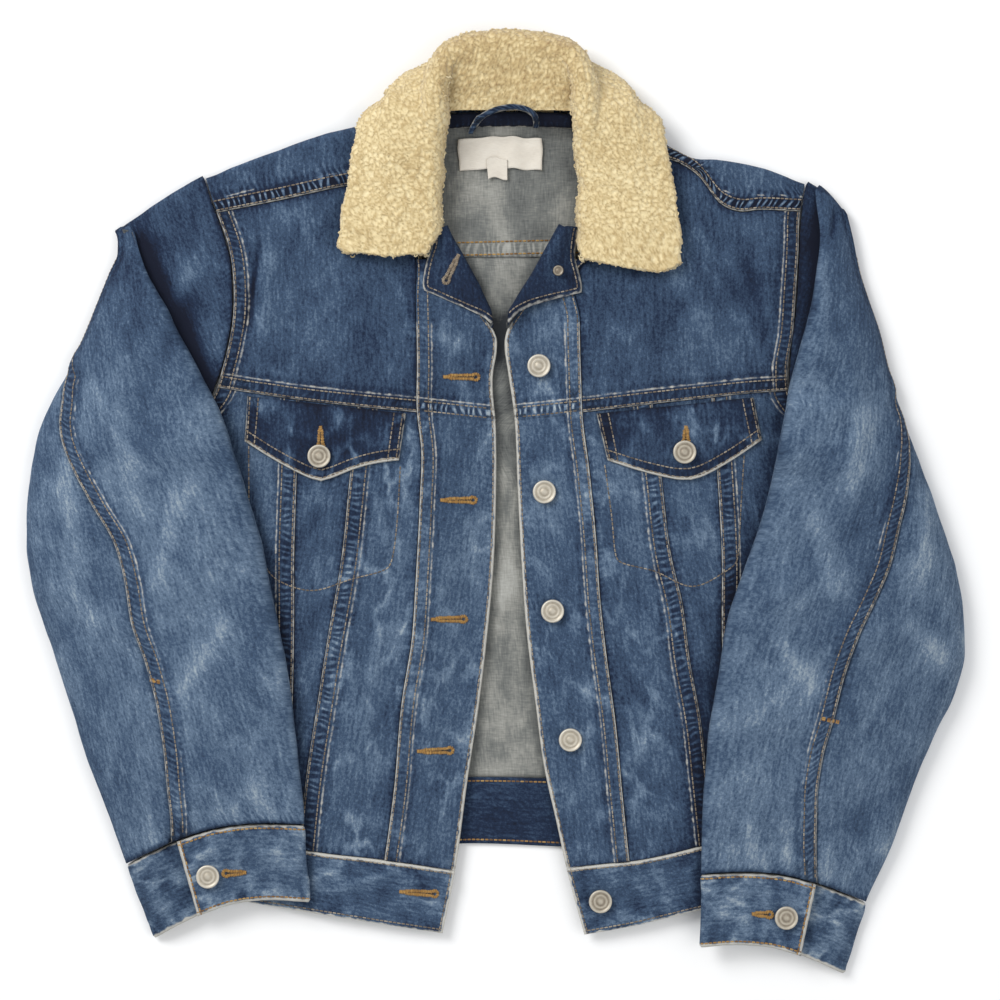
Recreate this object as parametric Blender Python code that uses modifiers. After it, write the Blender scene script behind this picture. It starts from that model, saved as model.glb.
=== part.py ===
"""Denim trucker jacket with a sherpa collar, laid flat on its back, fronts a little open.

Frame: +Z up, the jacket lies on z = 0 with its face up, +Y towards the collar. Sizes are in
millimetres and become metres where a mesh is made. Names end in the wearer's side: _right is
at -X, _left is at +X. Every cloth piece is a grid of points on its outer face, the denim's
blue side, and Solidify gives it its wall towards the inside.
"""
import math

import bpy
import numpy as np

MM = 0.001
MIDDLE = np.array([0.41, -0.78, 0.0])      # middle of the jacket's outline in the tables' frame

# ---------------------------------------------------------------- driving dimensions (mm)
DENIM = 1.2                # single cloth
DOUBLE = 2.0               # plackets and lapels, two cloths
LAPEL_WALL = 1.6           # the turned-out corner, two cloths pressed
BAND = 2.4                 # hem bands, cuffs and flaps, turned double
SHERPA = 6.5               # pile and its knitted back
GAP = 0.34                 # between two pieces at a seam
SEAT = 0.35                # between a button and the cloth under it
SEAT_REACH = 3.0           # half width of the cloth that a button's shank sits on
LIE = 0.5                  # under a piece that lies on a panel
SLEEVE_LIE = 1.2           # under a sleeve or cuff, over the hem band's height
TAPE_LIE = 0.8             # under the neck tape, where the yoke bends
COLLAR_MIDDLE = 11.0       # x of the collar's middle
NECK_HALF = 86.0           # half width of the neck where the shoulders start
NECK_END = 177.0           # the placket ends here, under the collar's front end
ROLL_ROOM = 1.8            # the placket stops short of the lapel's roll
YOKE_RISE = [0, 0.3, 0.6, 0.788, 0.85, 0.91, 0.96, 1.0]   # rows of the back yoke's flat part
WING = 8                   # columns over one shoulder, the same on both sides of its seam
NECK_LIFT = 11.0           # the back neck rides over the fall of the collar
LIFT_HALF = 84.0           # half width of that lift
LIFT_START = 264.0         # y where the lift begins
COLLAR_ROLL = 11.5         # outer radius of the collar's roll
COLLAR_WALL = 8.2          # both cloths of the collar at the neck seam
NECK_SEAM_Z = 11.0         # height of the neck seam at the collar's front ends
CUFF_TOP = {"right": 19.7, "left": 19.7}     # where a cuff's button sits
STUD_TOP = 23.0            # where the neck stud's back sits
SIDES = ("right", "left")
UP = np.array([0.0, 0.0, 1.0])

# ---------------------------------------------------------------- colours
DENIM_BLUE = (0.075, 0.135, 0.235)
DENIM_DARK = (0.035, 0.065, 0.135)
DENIM_GREY = (0.27, 0.29, 0.30)
CREAM = (0.80, 0.70, 0.50)
WHITE_TAPE = (0.80, 0.80, 0.78)
NICKEL = (0.55, 0.53, 0.50)

# ------------------------------------------------ seams that run down the body: y, x
OUTER = {     # side seam up to the underarm, then the armhole
    "right": [(-320, -210), (-253, -216), (-189, -221), (-101, -228), (-14, -234), (47, -237),
              (59, -221), (76, -207), (99, -199), (124, -193), (154, -191), (187, -195),
              (215, -205), (237, -212)],
    "left": [(-320, 226), (-246, 231), (-189, 237), (-101, 243), (-14, 247), (49, 250),
             (59, 231), (73, 218), (95, 214), (124, 218), (153, 220), (184, 222),
             (210, 223), (233, 227)],
}
EDGE = {      # front edge up to the break of the lapel, then its roll line
    "right": [(-320, -39), (-270, -29), (-205, -20), (-145, -11), (-94, -5), (-50, -1), (1, 1),
              (52, 1), (95, -1), (114, 2), (134, -4), (151, -12), (173, -24), (192, -33)],
    "left": [(-320, 66), (-268, 52), (-236, 45), (-196, 36), (-145, 29), (-97, 23), (-43, 19),
             (16, 16), (60, 14), (96, 9), (114, 7), (134, 17), (152, 26), (176, 39), (192, 50)],
}
PLACKET = {   # inner seam of the placket, then the neck seam up to the shoulder
    "right": [(-270, -82), (-211, -74), (-145, -68), (-101, -61), (-57, -58), (1, -55),
              (38, -54), (65, -57), (103, -57), (147, -58), (184, -60), (200, -69),
              (216, -74), (235, -76)],
    "left": [(-270, 99), (-211, 93), (-160, 88), (-116, 82), (-72, 77), (-28, 74), (23, 69),
             (63, 64), (89, 63), (132, 62), (172, 63), (187, 82), (200, 91), (228, 98),
             (252, 98)],
}
INNER_VEE = {
    "right": [(-258, -138), (-203, -132), (-145, -123), (-101, -116), (-43, -106), (23, -99),
              (75, -93)],
    "left": [(-258, 155), (-203, 149), (-160, 144), (-116, 136), (-72, 130), (-43, 123),
             (19, 115), (75, 108)],
}
OUTER_VEE = {
    "right": [(-256, -158), (-174, -155), (-87, -153), (-43, -153), (19, -151), (80, -149)],
    "left": [(-256, 177), (-174, 174), (-87, 172), (-43, 172), (27, 168), (80, 164)],
}

# ------------------------------------------------ seams that run across the body: x, y
SHOULDER_TOP = {   # the fold at the top of the shoulder
    "right": [(-214, 236), (-186, 247), (-157, 258), (-120, 270), (-95, 276), (-74, 278)],
    "left": [(96, 273), (110, 270), (124, 262), (142, 252), (164, 250), (193, 245), (229, 232)],
}
SHOULDER_SEAM = {
    "right": [(-204, 211), (-157, 220), (-110, 230), (-74, 235)],
    "left": [(96, 250), (113, 251), (129, 249), (150, 236), (164, 218), (177, 212), (193, 213),
             (223, 212)],
}
YOKE_SEAM = {
    "right": [(-207, 84), (-182, 80), (-142, 74), (-99, 69), (-57, 65), (1, 59)],
    "left": [(15, 60), (64, 65), (106, 70), (150, 75), (186, 79), (214, 81)],
}
BAND_TOP = {
    "right": [(-216, -246), (-186, -249), (-158, -251), (-138, -255), (-81, -262), (-29, -270)],
    "left": [(52, -268), (77, -265), (106, -262), (126, -258), (155, -251), (193, -246),
             (231, -244)],
}
BAND_HEM = {
    "right": [(-213, -288), (-172, -295), (-128, -302), (-84, -309), (-39, -316)],
    "left": [(66, -317), (99, -311), (150, -299), (193, -290), (228, -282)],
}
BACK_BAND_TOP = [(-218, -246), (-142, -216), (-69, -204), (-26, -202), (44, -203), (106, -206),
                 (179, -219), (232, -244)]
BACK_BAND_HEM = [(-213, -287), (-142, -265), (-69, -254), (-26, -251), (44, -253), (106, -256),
                 (179, -266), (228, -282)]
BACK_YOKE_SEAM = 186.0
BACK_NECK = [(-86, 272), (-75, 277), (-51, 281), (-26, 284), (11, 285), (48, 284), (73, 281),
             (97, 272)]

# ------------------------------------ height of the front's under side over its width
# y, then the height at the outer seam, at 1/4, 1/2, 3/4 of the width, and at the front edge
LOFT = [
    (-320, 3.5, 5.8, 8.5, 8.8, 7.6),
    (-240, 3.0, 6.5, 9.2, 10.0, 7.4),
    (-170, 2.1, 7.0, 11.5, 12.5, 6.9),
    (-80, 2.1, 7.5, 13.5, 14.5, 6.6),
    (10, 2.1, 8.5, 15.0, 15.5, 6.6),
    (55, 3.5, 10.0, 16.0, 15.5, 6.6),
    (100, 8.0, 12.5, 16.0, 15.0, 6.8),
    (150, 9.0, 12.5, 15.0, 13.0, 8.0),
    (190, 8.0, 11.0, 13.0, 12.0, 10.5),
    (225, 6.0, 9.0, 11.0, 12.5, 13.0),
    (250, 5.0, 8.0, 11.0, 13.5, 14.0),
    (285, 6.0, 9.0, 12.0, 14.0, 14.0),
]
# large creases: start x, y, end x, y, half width, height
CREASES = [
    (-196, 170, -176, 96, 9, 2.6),
    (-178, 118, -128, 104, 10, 1.8),
    (-150, 200, -100, 150, 16, 1.8),
    (-120, -80, -96, -170, 12, 1.8),
    (-110, 20, -84, -40, 10, 1.6),
    (206, 196, 196, 118, 10, 2.2),
    (120, 190, 100, 120, 15, 1.8),
    (110, -90, 128, -190, 12, 1.8),
    (96, 12, 92, -60, 9, 1.6),
    (-250, 150, -285, 40, 13, 3.0),
    (-205, -30, -270, -90, 14, 3.2),
    (-170, -120, -255, -150, 12, 2.6),
    (-176, -190, -240, -205, 11, 2.0),
    (-300, 20, -322, -70, 12, 2.2),
    (248, 100, 262, -20, 13, 3.0),
    (205, -60, 290, -110, 14, 3.2),
    (185, -140, 262, -172, 12, 2.6),
    (190, -215, 250, -228, 11, 2.0),
    (300, 10, 325, -80, 12, 2.2),
]

# ------------------------------------ sleeve sections from the crown to the cuff
# armhole x, y; valley of the pleat or underarm seam x, y; inner edge x, y; outer edge x, y;
# crest over the edges; elbow seam as a share of the way from the inner to the outer edge
SLEEVE = {
    "right": [
        (-212, 236, -270, 196, -262, 190, -276, 197, 1, 1.22),
        (-199, 201, -268, 177, -256, 172, -276, 182, 4, 1.22),
        (-191, 160, -258, 149, -242, 144, -286, 156, 9, 1.22),
        (-194, 116, -246, 116, -224, 111, -301, 119, 14, 1.22),
        (-207, 76, -236, 78, -205, 76, -318, 84, 18, 0.89),
        (-237, 47, -237, 47, -191, 41, -334, 51, 21, 0.77),
        (-237, 47, -222, 2, -180, 3, -342, 3, 23, 0.64),
        (-237, 47, -208, -36, -169, -35, -342, -43, 24, 0.56),
        (-237, 47, -196, -75, -161, -75, -333, -81, 24, 0.57),
        (-237, 47, -186, -115, -153, -114, -320, -119, 22, 0.565),
        (-237, 47, -177, -155, -147, -154, -307, -161, 20, 0.565),
        (-237, 47, -169, -191, -143, -190, -293, -205, 17, 0.59),
        (-237, 47, -162, -221, -140, -220, -278, -243, 12, 0.63),
        (-237, 47, -158, -234, -139, -235, -270, -265, 8, 0.66),
    ],
    "left": [
        (227, 232, 256, 212, 247, 207, 260, 212, 1, 1.22),
        (223, 201, 256, 195, 244, 193, 263, 193, 4, 1.22),
        (220, 158, 252, 168, 241, 170, 268, 161, 8, 1.22),
        (216, 114, 247, 131, 228, 134, 280, 127, 13, 1.22),
        (218, 73, 245, 81, 215, 83, 293, 77, 18, 1.08),
        (250, 49, 250, 49, 207, 45, 310, 30, 21, 0.825),
        (250, 49, 232, 0, 198, -1, 327, -19, 23, 0.667),
        (250, 49, 218, -42, 184, -43, 339, -57, 24, 0.597),
        (250, 49, 204, -77, 172, -76, 344, -101, 24, 0.532),
        (250, 49, 193, -117, 164, -116, 337, -139, 22, 0.509),
        (250, 49, 184, -156, 158, -154, 320, -173, 20, 0.519),
        (250, 49, 177, -194, 153, -192, 306, -209, 17, 0.523),
        (250, 49, 171, -241, 151, -240, 288, -256, 12, 0.566),
        (250, 49, 168, -270, 150, -271, 272, -293, 8, 0.628),
    ],
}
PIT_ROW = 5                # the section where the armhole closes
WRAP = 9.0                 # how far a folded edge's round reaches in
SLOPE = 14.0               # the sleeve climbs on to the body over this width
PIT_LEVEL = 47.0           # y under which it does so
NARROW = 40.0              # sections under this width have an evener top
SLEEVE_BOW = {"right": 12.0, "left": 10.0}   # rise of the cuff's seam over its chord
EDGE_HEIGHT = 7.0          # height of the sleeve's outer edge
VALLEY = 6.0               # height of the head's cloth in the pleat
HEAD_BULGE = 2.5           # crown of the head's cloth between its seam and the pleat
TUCK_ROOM = 2.4            # between the two layers of the pleat
FOLD_ROUND = 0.8           # round of the pleat's inner fold
ARM_ROOM = 1.0             # between the sleeve and the armhole's curve
PIT_ROOM = 1.3             # more of it where the armhole closes
SEAM_ROOM = 0.9            # between the two sleeve cloths at the elbow seam
SEAM_END = 1.15            # the elbow seam stays on the outer edge's round
HEAD_STATIONS = [0, 0.5, 1.0, 1.7, 2.4, 3.1, 3.6, 4.0, 4.4, 4.75]
SLEEVE_STATIONS = [5, 5.25, 5.6, 6.1, 6.8, 7.5, 8.2, 9.0, 9.8, 10.6, 11.4, 12.2, 13]

# cuffs: inner and outer edge x, y, at the sleeve and at the mouth
CUFF = {
    "right": [((-139, -236.2), (-270, -266.2)), ((-135, -292), (-250, -320))],
    "left": [((150, -272.2), (272, -294.2)), ((149, -325), (256, -346))],
}
CUFF_LAP = {"right": 0.71, "left": 0.69}       # the lap's edge, as a share from the inner edge

# ------------------------------------ collar sections from a front end to the back's middle
# distance from the collar's middle and y of: the neck seam, the roll's centre (with z),
# a point on the fall (with z) and the fall's edge (with z); direction of the fall in plan
# and of the stand's face in the section, in degrees
COLLAR = [
    (62, 179, 60, 184, 14.5, 88, 181, 27.0, 127, 181, 24.0, 90, 270),
    (76, 200, 60.5, 207, 14.5, 88, 206, 28.0, 122, 208, 25.0, 90, 270),
    (86, 228, 60.5, 235, 15.5, 88, 233, 28.5, 118, 232, 25.0, 90, 270),
    (84, 250, 58, 260, 20.5, 88, 258, 30.5, 114, 256, 25.0, 86, 256),
    (77, 264, 56, 284, 26.0, 88, 288, 29.5, 108, 282, 20.0, 74, 212),
    (65, 280, 52, 307, 27.0, 84, 307, 16.0, 86, 290, 1.0, 50, 158),
    (43, 284.6, 39, 326, 22.5, 56, 317, 3.0, 50, 287, 0.6, 22, 116),
    (0, 284.8, 0, 333, 20.0, 0, 314, 1.0, 0, 281, 0.4, 0, 96),
]
COLLAR_STATIONS = [0, 0.8, 1.6, 2.3, 3.0, 3.5, 4.0, 4.3, 4.6, 4.9, 5.2, 5.6, 6.0, 6.5, 7.0]

# ------------------------------------ what lies on the panels
FLAP = {      # the top edge's two ends, then the lower corners and the tip
    "right": [(-181, 77), (-65, 64), (-183, 44), (-127, 13), (-70, 30)],
    "left": [(74, 64), (189, 76), (82, 30), (143, 14), (195, 45)],
}
LAPEL = {     # roll line and lapel edge at the same stations, low to high
    "right": [((1, 118), (-8, 125)), ((-4, 134), (-24, 141)), ((-12, 151), (-52, 157)),
              ((-20, 166), (-50, 169)), ((-26, 176), (-43, 176))],
    "left": [((9, 118), (18, 126)), ((17, 134), (38, 144)), ((26, 152), (66, 156)),
             ((33, 166), (64, 168)), ((38, 175), (58, 176))],
}
LAPEL_LIFT = {"right": 7.0, "left": 15.0}
FRONT_BUTTONS = [(32, 99), (36, 7), (42, -80), (55, -174)]
HEM_BUTTON = (77, -292)
FLAP_BUTTON = {"right": (-128, 33), "left": (138, 36)}
CUFF_BUTTON = {"right": (-209, -273), "left": (212, -303)}
NECK_BUTTON = (46, 168)
LABEL = ((-27, 263), (34, 240))
SIZE_TAB = ((-6, 239), (9, 227))
BUTTON_PROFILE = [(0.0, 4.6), (4.4, 4.4), (5.4, 3.8), (6.6, 4.5), (8.1, 4.1), (8.5, 3.1),
                  (3.2, 2.4), (2.8, 0.0), (0.0, 0.0)]
STUD_PROFILE = [(0.0, 1.8), (3.0, 1.6), (4.5, 0.6), (4.3, 0.0), (0.0, 0.0)]


# ================================================================ curves and heights
def through(table, at):
    """Smooth curve through a table whose first column is the parameter."""
    rows = np.asarray(sorted(table), dtype=float)
    knots, values = rows[:, 0], rows[:, 1:]
    slopes = np.gradient(values, knots, axis=0)
    at = np.clip(np.asarray(at, dtype=float), knots[0], knots[-1])
    low = np.clip(np.searchsorted(knots, at) - 1, 0, len(knots) - 2)
    span = knots[low + 1] - knots[low]
    t = ((at - knots[low]) / span)[..., None]
    span = span[..., None]
    return ((2 * t**3 - 3 * t**2 + 1) * values[low] + (t**3 - 2 * t**2 + t) * span * slopes[low]
            + (3 * t**2 - 2 * t**3) * values[low + 1] + (t**3 - t**2) * span * slopes[low + 1])


def seam(table):
    """A seam as a function: x of y, or y of x."""
    return lambda at: through(table, at)[..., 0]


def level(value):
    """A straight seam at one x or y."""
    return lambda at: np.full(np.shape(at), float(value))


def step(value):
    """Smooth step from 0 to 1 over the values 0 to 1."""
    t = np.clip(value, 0.0, 1.0)
    return t * t * (3 - 2 * t)


def creases(x, y):
    """Sum of the large creases: soft ridges that fade towards their ends."""
    total = np.zeros(np.shape(x))
    for x0, y0, x1, y1, half, height in CREASES:
        run = math.hypot(x1 - x0, y1 - y0)
        ux, uy = (x1 - x0) / run, (y1 - y0) / run
        along = ((x - x0) * ux + (y - y0) * uy) / run
        across = (x - x0) * uy - (y - y0) * ux
        fade = step((along + 0.25) / 0.4) * step((1.25 - along) / 0.4)
        total += height * fade * np.exp(-(across / half) ** 2)
    return total


def side_of(x):
    """True where x is on the wearer's left of the middle."""
    return np.asarray(x) > 8.0


def front_under(x, y):
    """Height of the front's under side, from the loft table."""
    x, y = np.broadcast_arrays(np.asarray(x, float), np.asarray(y, float))
    heights = through(LOFT, y)
    share = np.zeros(x.shape)
    for side in SIDES:
        outer = seam(OUTER[side])(y)
        inner = np.where(y < 192, seam(EDGE[side])(y), seam(PLACKET[side])(y))
        here = side_of(x) if side == "left" else ~side_of(x)
        share = np.where(here, (x - outer) / (inner - outer), share)
    place = np.clip(share, 0.0, 1.0) * 4
    low = np.clip(np.floor(place).astype(int), 0, 3)
    t = step(place - low)
    t = 0.5 * (t + place - low)
    a = np.take_along_axis(heights, low[..., None], axis=-1)[..., 0]
    b = np.take_along_axis(heights, (low + 1)[..., None], axis=-1)[..., 0]
    fade = step(place / 0.6) * step((4 - place) / 0.6)
    return a * (1 - t) + b * t + creases(x, y) * fade


def neck_lift(x, y):
    """How far the back is lifted off the floor by the collar's fall under it."""
    across = step((LIFT_HALF - np.abs(np.asarray(x, float) - COLLAR_MIDDLE)) / 24)
    return NECK_LIFT * across * step((np.asarray(y, float) - LIFT_START) / 18)


def sleeve_floor(side, x, y):
    """Height that the sleeve's under side rests at: the floor, or the body it lies on."""
    x, y = np.broadcast_arrays(np.asarray(x, float), np.asarray(y, float))
    out = (seam(OUTER[side])(y) - x) * (1 if side == "right" else -1)
    beside = step(1 - (out - 1.5) / SLOPE) * step(1 - (y - PIT_LEVEL) / 8)
    return np.where(out <= 0, 1.0, beside) * (front_under(x, y) + BAND + SLEEVE_LIE)


# ================================================================ meshes
def to_mesh(name, points, mask=None, flip=False):
    """Open grid mesh from points[row, column, xyz] in mm; mask drops faces."""
    rows, columns = points.shape[:2]
    index = np.arange(rows * columns).reshape(rows, columns)
    faces = np.stack([index[:-1, :-1], index[:-1, 1:], index[1:, 1:], index[1:, :-1]], axis=-1)
    keep = np.ones(faces.shape[:2], bool) if mask is None else mask
    faces = faces[keep]
    if flip:
        faces = faces[:, ::-1]
    used, faces = np.unique(faces, return_inverse=True)
    mesh = bpy.data.meshes.new(name)
    mesh.from_pydata(((points.reshape(-1, 3)[used] - MIDDLE) * MM).tolist(), [],
                     faces.reshape(-1, 4).tolist())
    mesh.update()
    return mesh


def add_object(name, mesh, material):
    """Put a mesh in the jacket's collection under its own name."""
    mesh.materials.append(material)
    piece = bpy.data.objects.new(name, mesh)
    bpy.data.collections["denim_jacket"].objects.link(piece)
    return piece


def cloth(name, points, wall, material, mask=None, flip=False):
    """A cloth piece: its outer face as a grid, and its wall towards the inside."""
    piece = add_object(name, to_mesh(name, points, mask, flip), material)
    solid = piece.modifiers.new("wall", "SOLIDIFY")
    solid.thickness = wall * MM
    solid.offset = -1.0
    return piece


def shell(name, outer, inner, material):
    """A closed piece from two grids of points, its outer and its inner face.

    Both faces are cut into triangles along the same diagonals, mirrored about the middle row.
    """
    rows, columns = outer.shape[:2]
    index = np.arange(rows * columns).reshape(rows, columns)
    a, b, c, d = index[:-1, :-1], index[1:, :-1], index[1:, 1:], index[:-1, 1:]
    half = (rows - 1) // 2
    first = [np.stack(corners, axis=-1)[:half] for corners in ((a, b, c), (a, c, d))]
    second = [np.stack(corners, axis=-1)[half:] for corners in ((a, b, d), (b, c, d))]
    face = np.concatenate([part.reshape(-1, 3) for part in first + second])
    rim = np.concatenate([index[0, :], index[1:, -1], index[-1, -2::-1], index[-2::-1, 0]])
    low = rim + rows * columns
    faces = face.tolist() + (face[:, ::-1] + rows * columns).tolist()
    faces += np.stack([rim[:-1], rim[1:], low[1:], low[:-1]], axis=-1).tolist()
    points = (np.concatenate([outer.reshape(-1, 3), inner.reshape(-1, 3)]) - MIDDLE) * MM
    mesh = bpy.data.meshes.new(name)
    mesh.from_pydata(points.tolist(), [], faces)
    mesh.update()
    return add_object(name, mesh, material)


def finish(name, colour, roughness=0.9, metallic=0.0):
    """A Principled material in one colour."""
    material = bpy.data.materials.new(name)
    material.use_nodes = True
    shader = material.node_tree.nodes["Principled BSDF"]
    shader.inputs["Base Color"].default_value = (*colour, 1.0)
    shader.inputs["Roughness"].default_value = roughness
    shader.inputs["Metallic"].default_value = metallic
    material.diffuse_color = (*colour, 1.0)
    return material


def between(low_x, high_x, low_y, high_y, across, up):
    """Plan points of a panel between two seams x(y) and two seams y(x)."""
    u, v = np.meshgrid(across, up)
    x = np.zeros_like(u)
    y = 0.5 * (low_y(x) + high_y(x)) + np.zeros_like(u)
    for _ in range(14):
        left, right = low_x(y) + GAP / 2, high_x(y) - GAP / 2
        x = left + (right - left) * u
        lower, upper = low_y(x) + GAP / 2, high_y(x) - GAP / 2
        y = lower + (upper - lower) * v
    return x, y


def even(count):
    """Even stations from 0 to 1."""
    return np.linspace(0, 1, count + 1)


def on_front(x, y, lift):
    """Points of an outer face that lies lift above the front's under side."""
    return np.stack([x, y, front_under(x, y) + lift], axis=-1)


# ================================================================ the body
def make_front(side, blue):
    """Yoke, three panels, placket and hem band of one front."""
    outer, edge, placket = seam(OUTER[side]), seam(EDGE[side]), seam(PLACKET[side])
    inner_vee, outer_vee = seam(INNER_VEE[side]), seam(OUTER_VEE[side])
    yoke_seam, band_top = seam(YOKE_SEAM[side]), seam(BAND_TOP[side])
    hem, shoulder = seam(BAND_HEM[side]), seam(SHOULDER_SEAM[side])
    inward = 1 if side == "right" else -1
    down = np.concatenate([0.89 * even(11), 0.89 + 0.11 * even(4)[1:]])
    lapel_rows = even(7)
    at_neck = float(placket(NECK_END))
    neck_share = float((NECK_END - yoke_seam(at_neck)) / (shoulder(at_neck) - yoke_seam(at_neck)))
    up = np.concatenate([neck_share * lapel_rows, neck_share + (1 - neck_share) * even(4)[1:]])
    pieces = {
        "front_yoke": (outer, placket, yoke_seam, shoulder, even(WING), up, DENIM),
        "front_side_panel": (outer, outer_vee, band_top, yoke_seam, even(5), down, DENIM),
        "front_middle_panel": (outer_vee, inner_vee, band_top, yoke_seam, even(3), down, DENIM),
        "front_centre_panel": (inner_vee, placket, band_top, yoke_seam, even(3), down, DENIM),
        "hem_band_front": (outer, edge, hem, band_top, even(13), even(3), BAND),
    }
    for name, (first, second, lower, upper, across, rows, wall) in pieces.items():
        first, second = (first, second) if side == "right" else (second, first)
        x, y = between(first, second, lower, upper, across, rows)
        cloth(f"{name}_{side}", on_front(x, y, wall), wall, blue)

    def roll(y):
        return edge(y) - inward * ROLL_ROOM * step((y - 95) / 20)

    first, second = (placket, roll) if side == "right" else (roll, placket)
    low_x, low_y = between(first, second, band_top, yoke_seam, even(4), down)
    high_x, high_y = between(first, second, yoke_seam, level(NECK_END), even(4), lapel_rows[1:])
    points = on_front(np.vstack([low_x, high_x]), np.vstack([low_y, high_y]), DOUBLE)
    cloth(f"front_placket_{side}", points, DOUBLE, blue)


def make_back(blue, grey):
    """Back panel and hem band, flat on the floor."""
    right, left = seam(OUTER["right"]), seam(OUTER["left"])
    up = np.concatenate([0.6 * even(4), 0.6 + 0.4 * even(12)[1:]])
    x, y = between(right, left, seam(BACK_BAND_TOP), level(BACK_YOKE_SEAM), even(10), up)
    cloth("back_panel", np.stack([x, y, np.zeros_like(x)], axis=-1), DENIM, grey, flip=True)
    x, y = between(right, left, seam(BACK_BAND_HEM), seam(BACK_BAND_TOP), even(10), even(2))
    cloth("hem_band_back", np.stack([x, y, np.zeros_like(x)], axis=-1), BAND, blue, flip=True)


def make_back_yoke(blue):
    """Back yoke: flat at the back, then over both shoulders to the front shoulder seams."""
    wing, middle, top = WING, 8, 3
    rise = np.array(YOKE_RISE)
    flat = len(rise) - 1
    turns = np.linspace(0, math.pi, 5)[1:]
    share = np.concatenate([np.linspace(0, 1, wing + 1), np.linspace(1, 2, middle + 1)[1:],
                            np.linspace(2, 3, wing + 1)[1:]])
    columns = len(share)
    rows = flat + 1 + len(turns) + top
    neck_right, neck_left = COLLAR_MIDDLE - NECK_HALF, COLLAR_MIDDLE + NECK_HALF
    is_left = share > 1.5
    neck_column = (share > 1 + 1e-6) & (share < 2 - 1e-6)
    points = np.zeros((rows, columns, 3))
    y_row = np.full(columns, 200.0)
    for row in range(rows):
        for _ in range(14):
            outer_right = seam(OUTER["right"])(y_row) + GAP / 2
            outer_left = seam(OUTER["left"])(y_row) - GAP / 2
            x = np.where(share <= 1, outer_right + (neck_right - outer_right) * share,
                         np.where(share >= 2, neck_left + (outer_left - neck_left) * (share - 2),
                                  neck_right + (neck_left - neck_right) * (share - 1)))
            fold = np.where(is_left, seam(SHOULDER_TOP["left"])(x), seam(SHOULDER_TOP["right"])(x))
            fold = np.where(neck_column, seam(BACK_NECK)(x) - GAP, fold)
            high = front_under(x, fold - 4) + DENIM
            low = neck_lift(x, fold - 4)
            radius = np.where(neck_column, 0.0, (high - low) / 2)
            end = fold - radius
            if row <= flat:
                y_row = BACK_YOKE_SEAM + GAP / 2 + (end - BACK_YOKE_SEAM - GAP / 2) * rise[row]
                z = neck_lift(x, y_row)
            elif row <= flat + len(turns):
                turn = turns[row - flat - 1]
                y_row = end + radius * math.sin(turn)
                z = low + radius * (1 - math.cos(turn))
            else:
                part = (row - flat - len(turns)) / top
                stop = np.where(is_left, seam(SHOULDER_SEAM["left"])(x),
                                seam(SHOULDER_SEAM["right"])(x)) + GAP
                y_row = end + (stop - end) * part
                z = front_under(x, y_row) + DENIM
        points[row] = np.stack([x, y_row, z], axis=-1)
    mask = np.ones((rows - 1, columns - 1), bool)
    mask[flat:, wing:wing + middle] = False
    cloth("back_yoke", points, DENIM, blue, mask, flip=True)


# ================================================================ sleeves and cuffs
def sleeve_row(side, row):
    """The named values of one sleeve section between the table's rows."""
    table = [(number, *values) for number, values in enumerate(SLEEVE[side])]
    return through(table, row)


def bow(side, row, part):
    """Rise of a section near the cuff over its chord, part from its inner edge."""
    return SLEEVE_BOW[side] * step((row - 10.6) / 2.4) * math.sin(math.pi * part)


def arm_room(row):
    """Room between the sleeve and the armhole's curve, wider where the curve turns in."""
    return ARM_ROOM + PIT_ROOM * step((row - 3.2) / 1.2)


def pit_share(side, row):
    """Place of the underarm seam on a section's chord, from the inner edge."""
    valley_x, valley_y, in_x, in_y, out_x, out_y = sleeve_row(side, row)[2:8]
    return math.hypot(valley_x - in_x, valley_y - in_y) / math.hypot(out_x - in_x, out_y - in_y)


def low_bow(side, row, part):
    """Rise of the section's under side, part from the outer edge to the underarm seam."""
    end = pit_share(side, row)
    return bow(side, row, 1 - part * (1 - end)) - bow(side, row, end) * part


def head_line(side, row):
    """The head's cloth at one section: its armhole end, its valley end and its height."""
    arm_x, arm_y, valley_x, valley_y = sleeve_row(side, row)[:4]
    sign = -1 if side == "right" else 1
    start_x = float(seam(OUTER[side])(arm_y)) + sign * arm_room(row)
    start_z = float(front_under(start_x - sign * 3, arm_y)) + DENIM
    start, stop = np.array([start_x, arm_y]), np.array([valley_x, valley_y])
    length = max(float(np.hypot(*(stop - start))), 1.0)

    def height(distance):
        """Height at a distance from the valley."""
        part = 1 - np.clip(distance / length, 0, 1)
        bulge = HEAD_BULGE * np.sin(math.pi * part) * step(length / 50)
        return VALLEY + (start_z - VALLEY) * (1 - part) + bulge

    return start, stop, length, height


def on_under(side, z, x, y):
    """Height z, or more where the under sleeve climbs on to the body."""
    return np.maximum(z, sleeve_floor(side, x, y) + 2 * DENIM + PIT_ROOM)


def tuck_height(side, row, x, y):
    """Under side of the cloth between the valley, or the underarm seam, and the inner edge."""
    floor = sleeve_floor(side, x, y)
    if row >= PIT_ROW + 1:
        return floor
    _, stop, _, height = head_line(side, row)
    on_head = on_under(side, height(np.hypot(x - stop[0], y - stop[1])), x, y) + TUCK_ROOM
    return np.maximum(floor, on_head * float(step((PIT_ROW + 1 - row) / 0.9)))


def inner_height(side, row):
    """Height of the sleeve's inner edge."""
    in_x, in_y = sleeve_row(side, row)[4:6]
    return float(tuck_height(side, row, in_x, in_y)) + 4.0 + 1.5 * step(row / 2.5)


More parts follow.
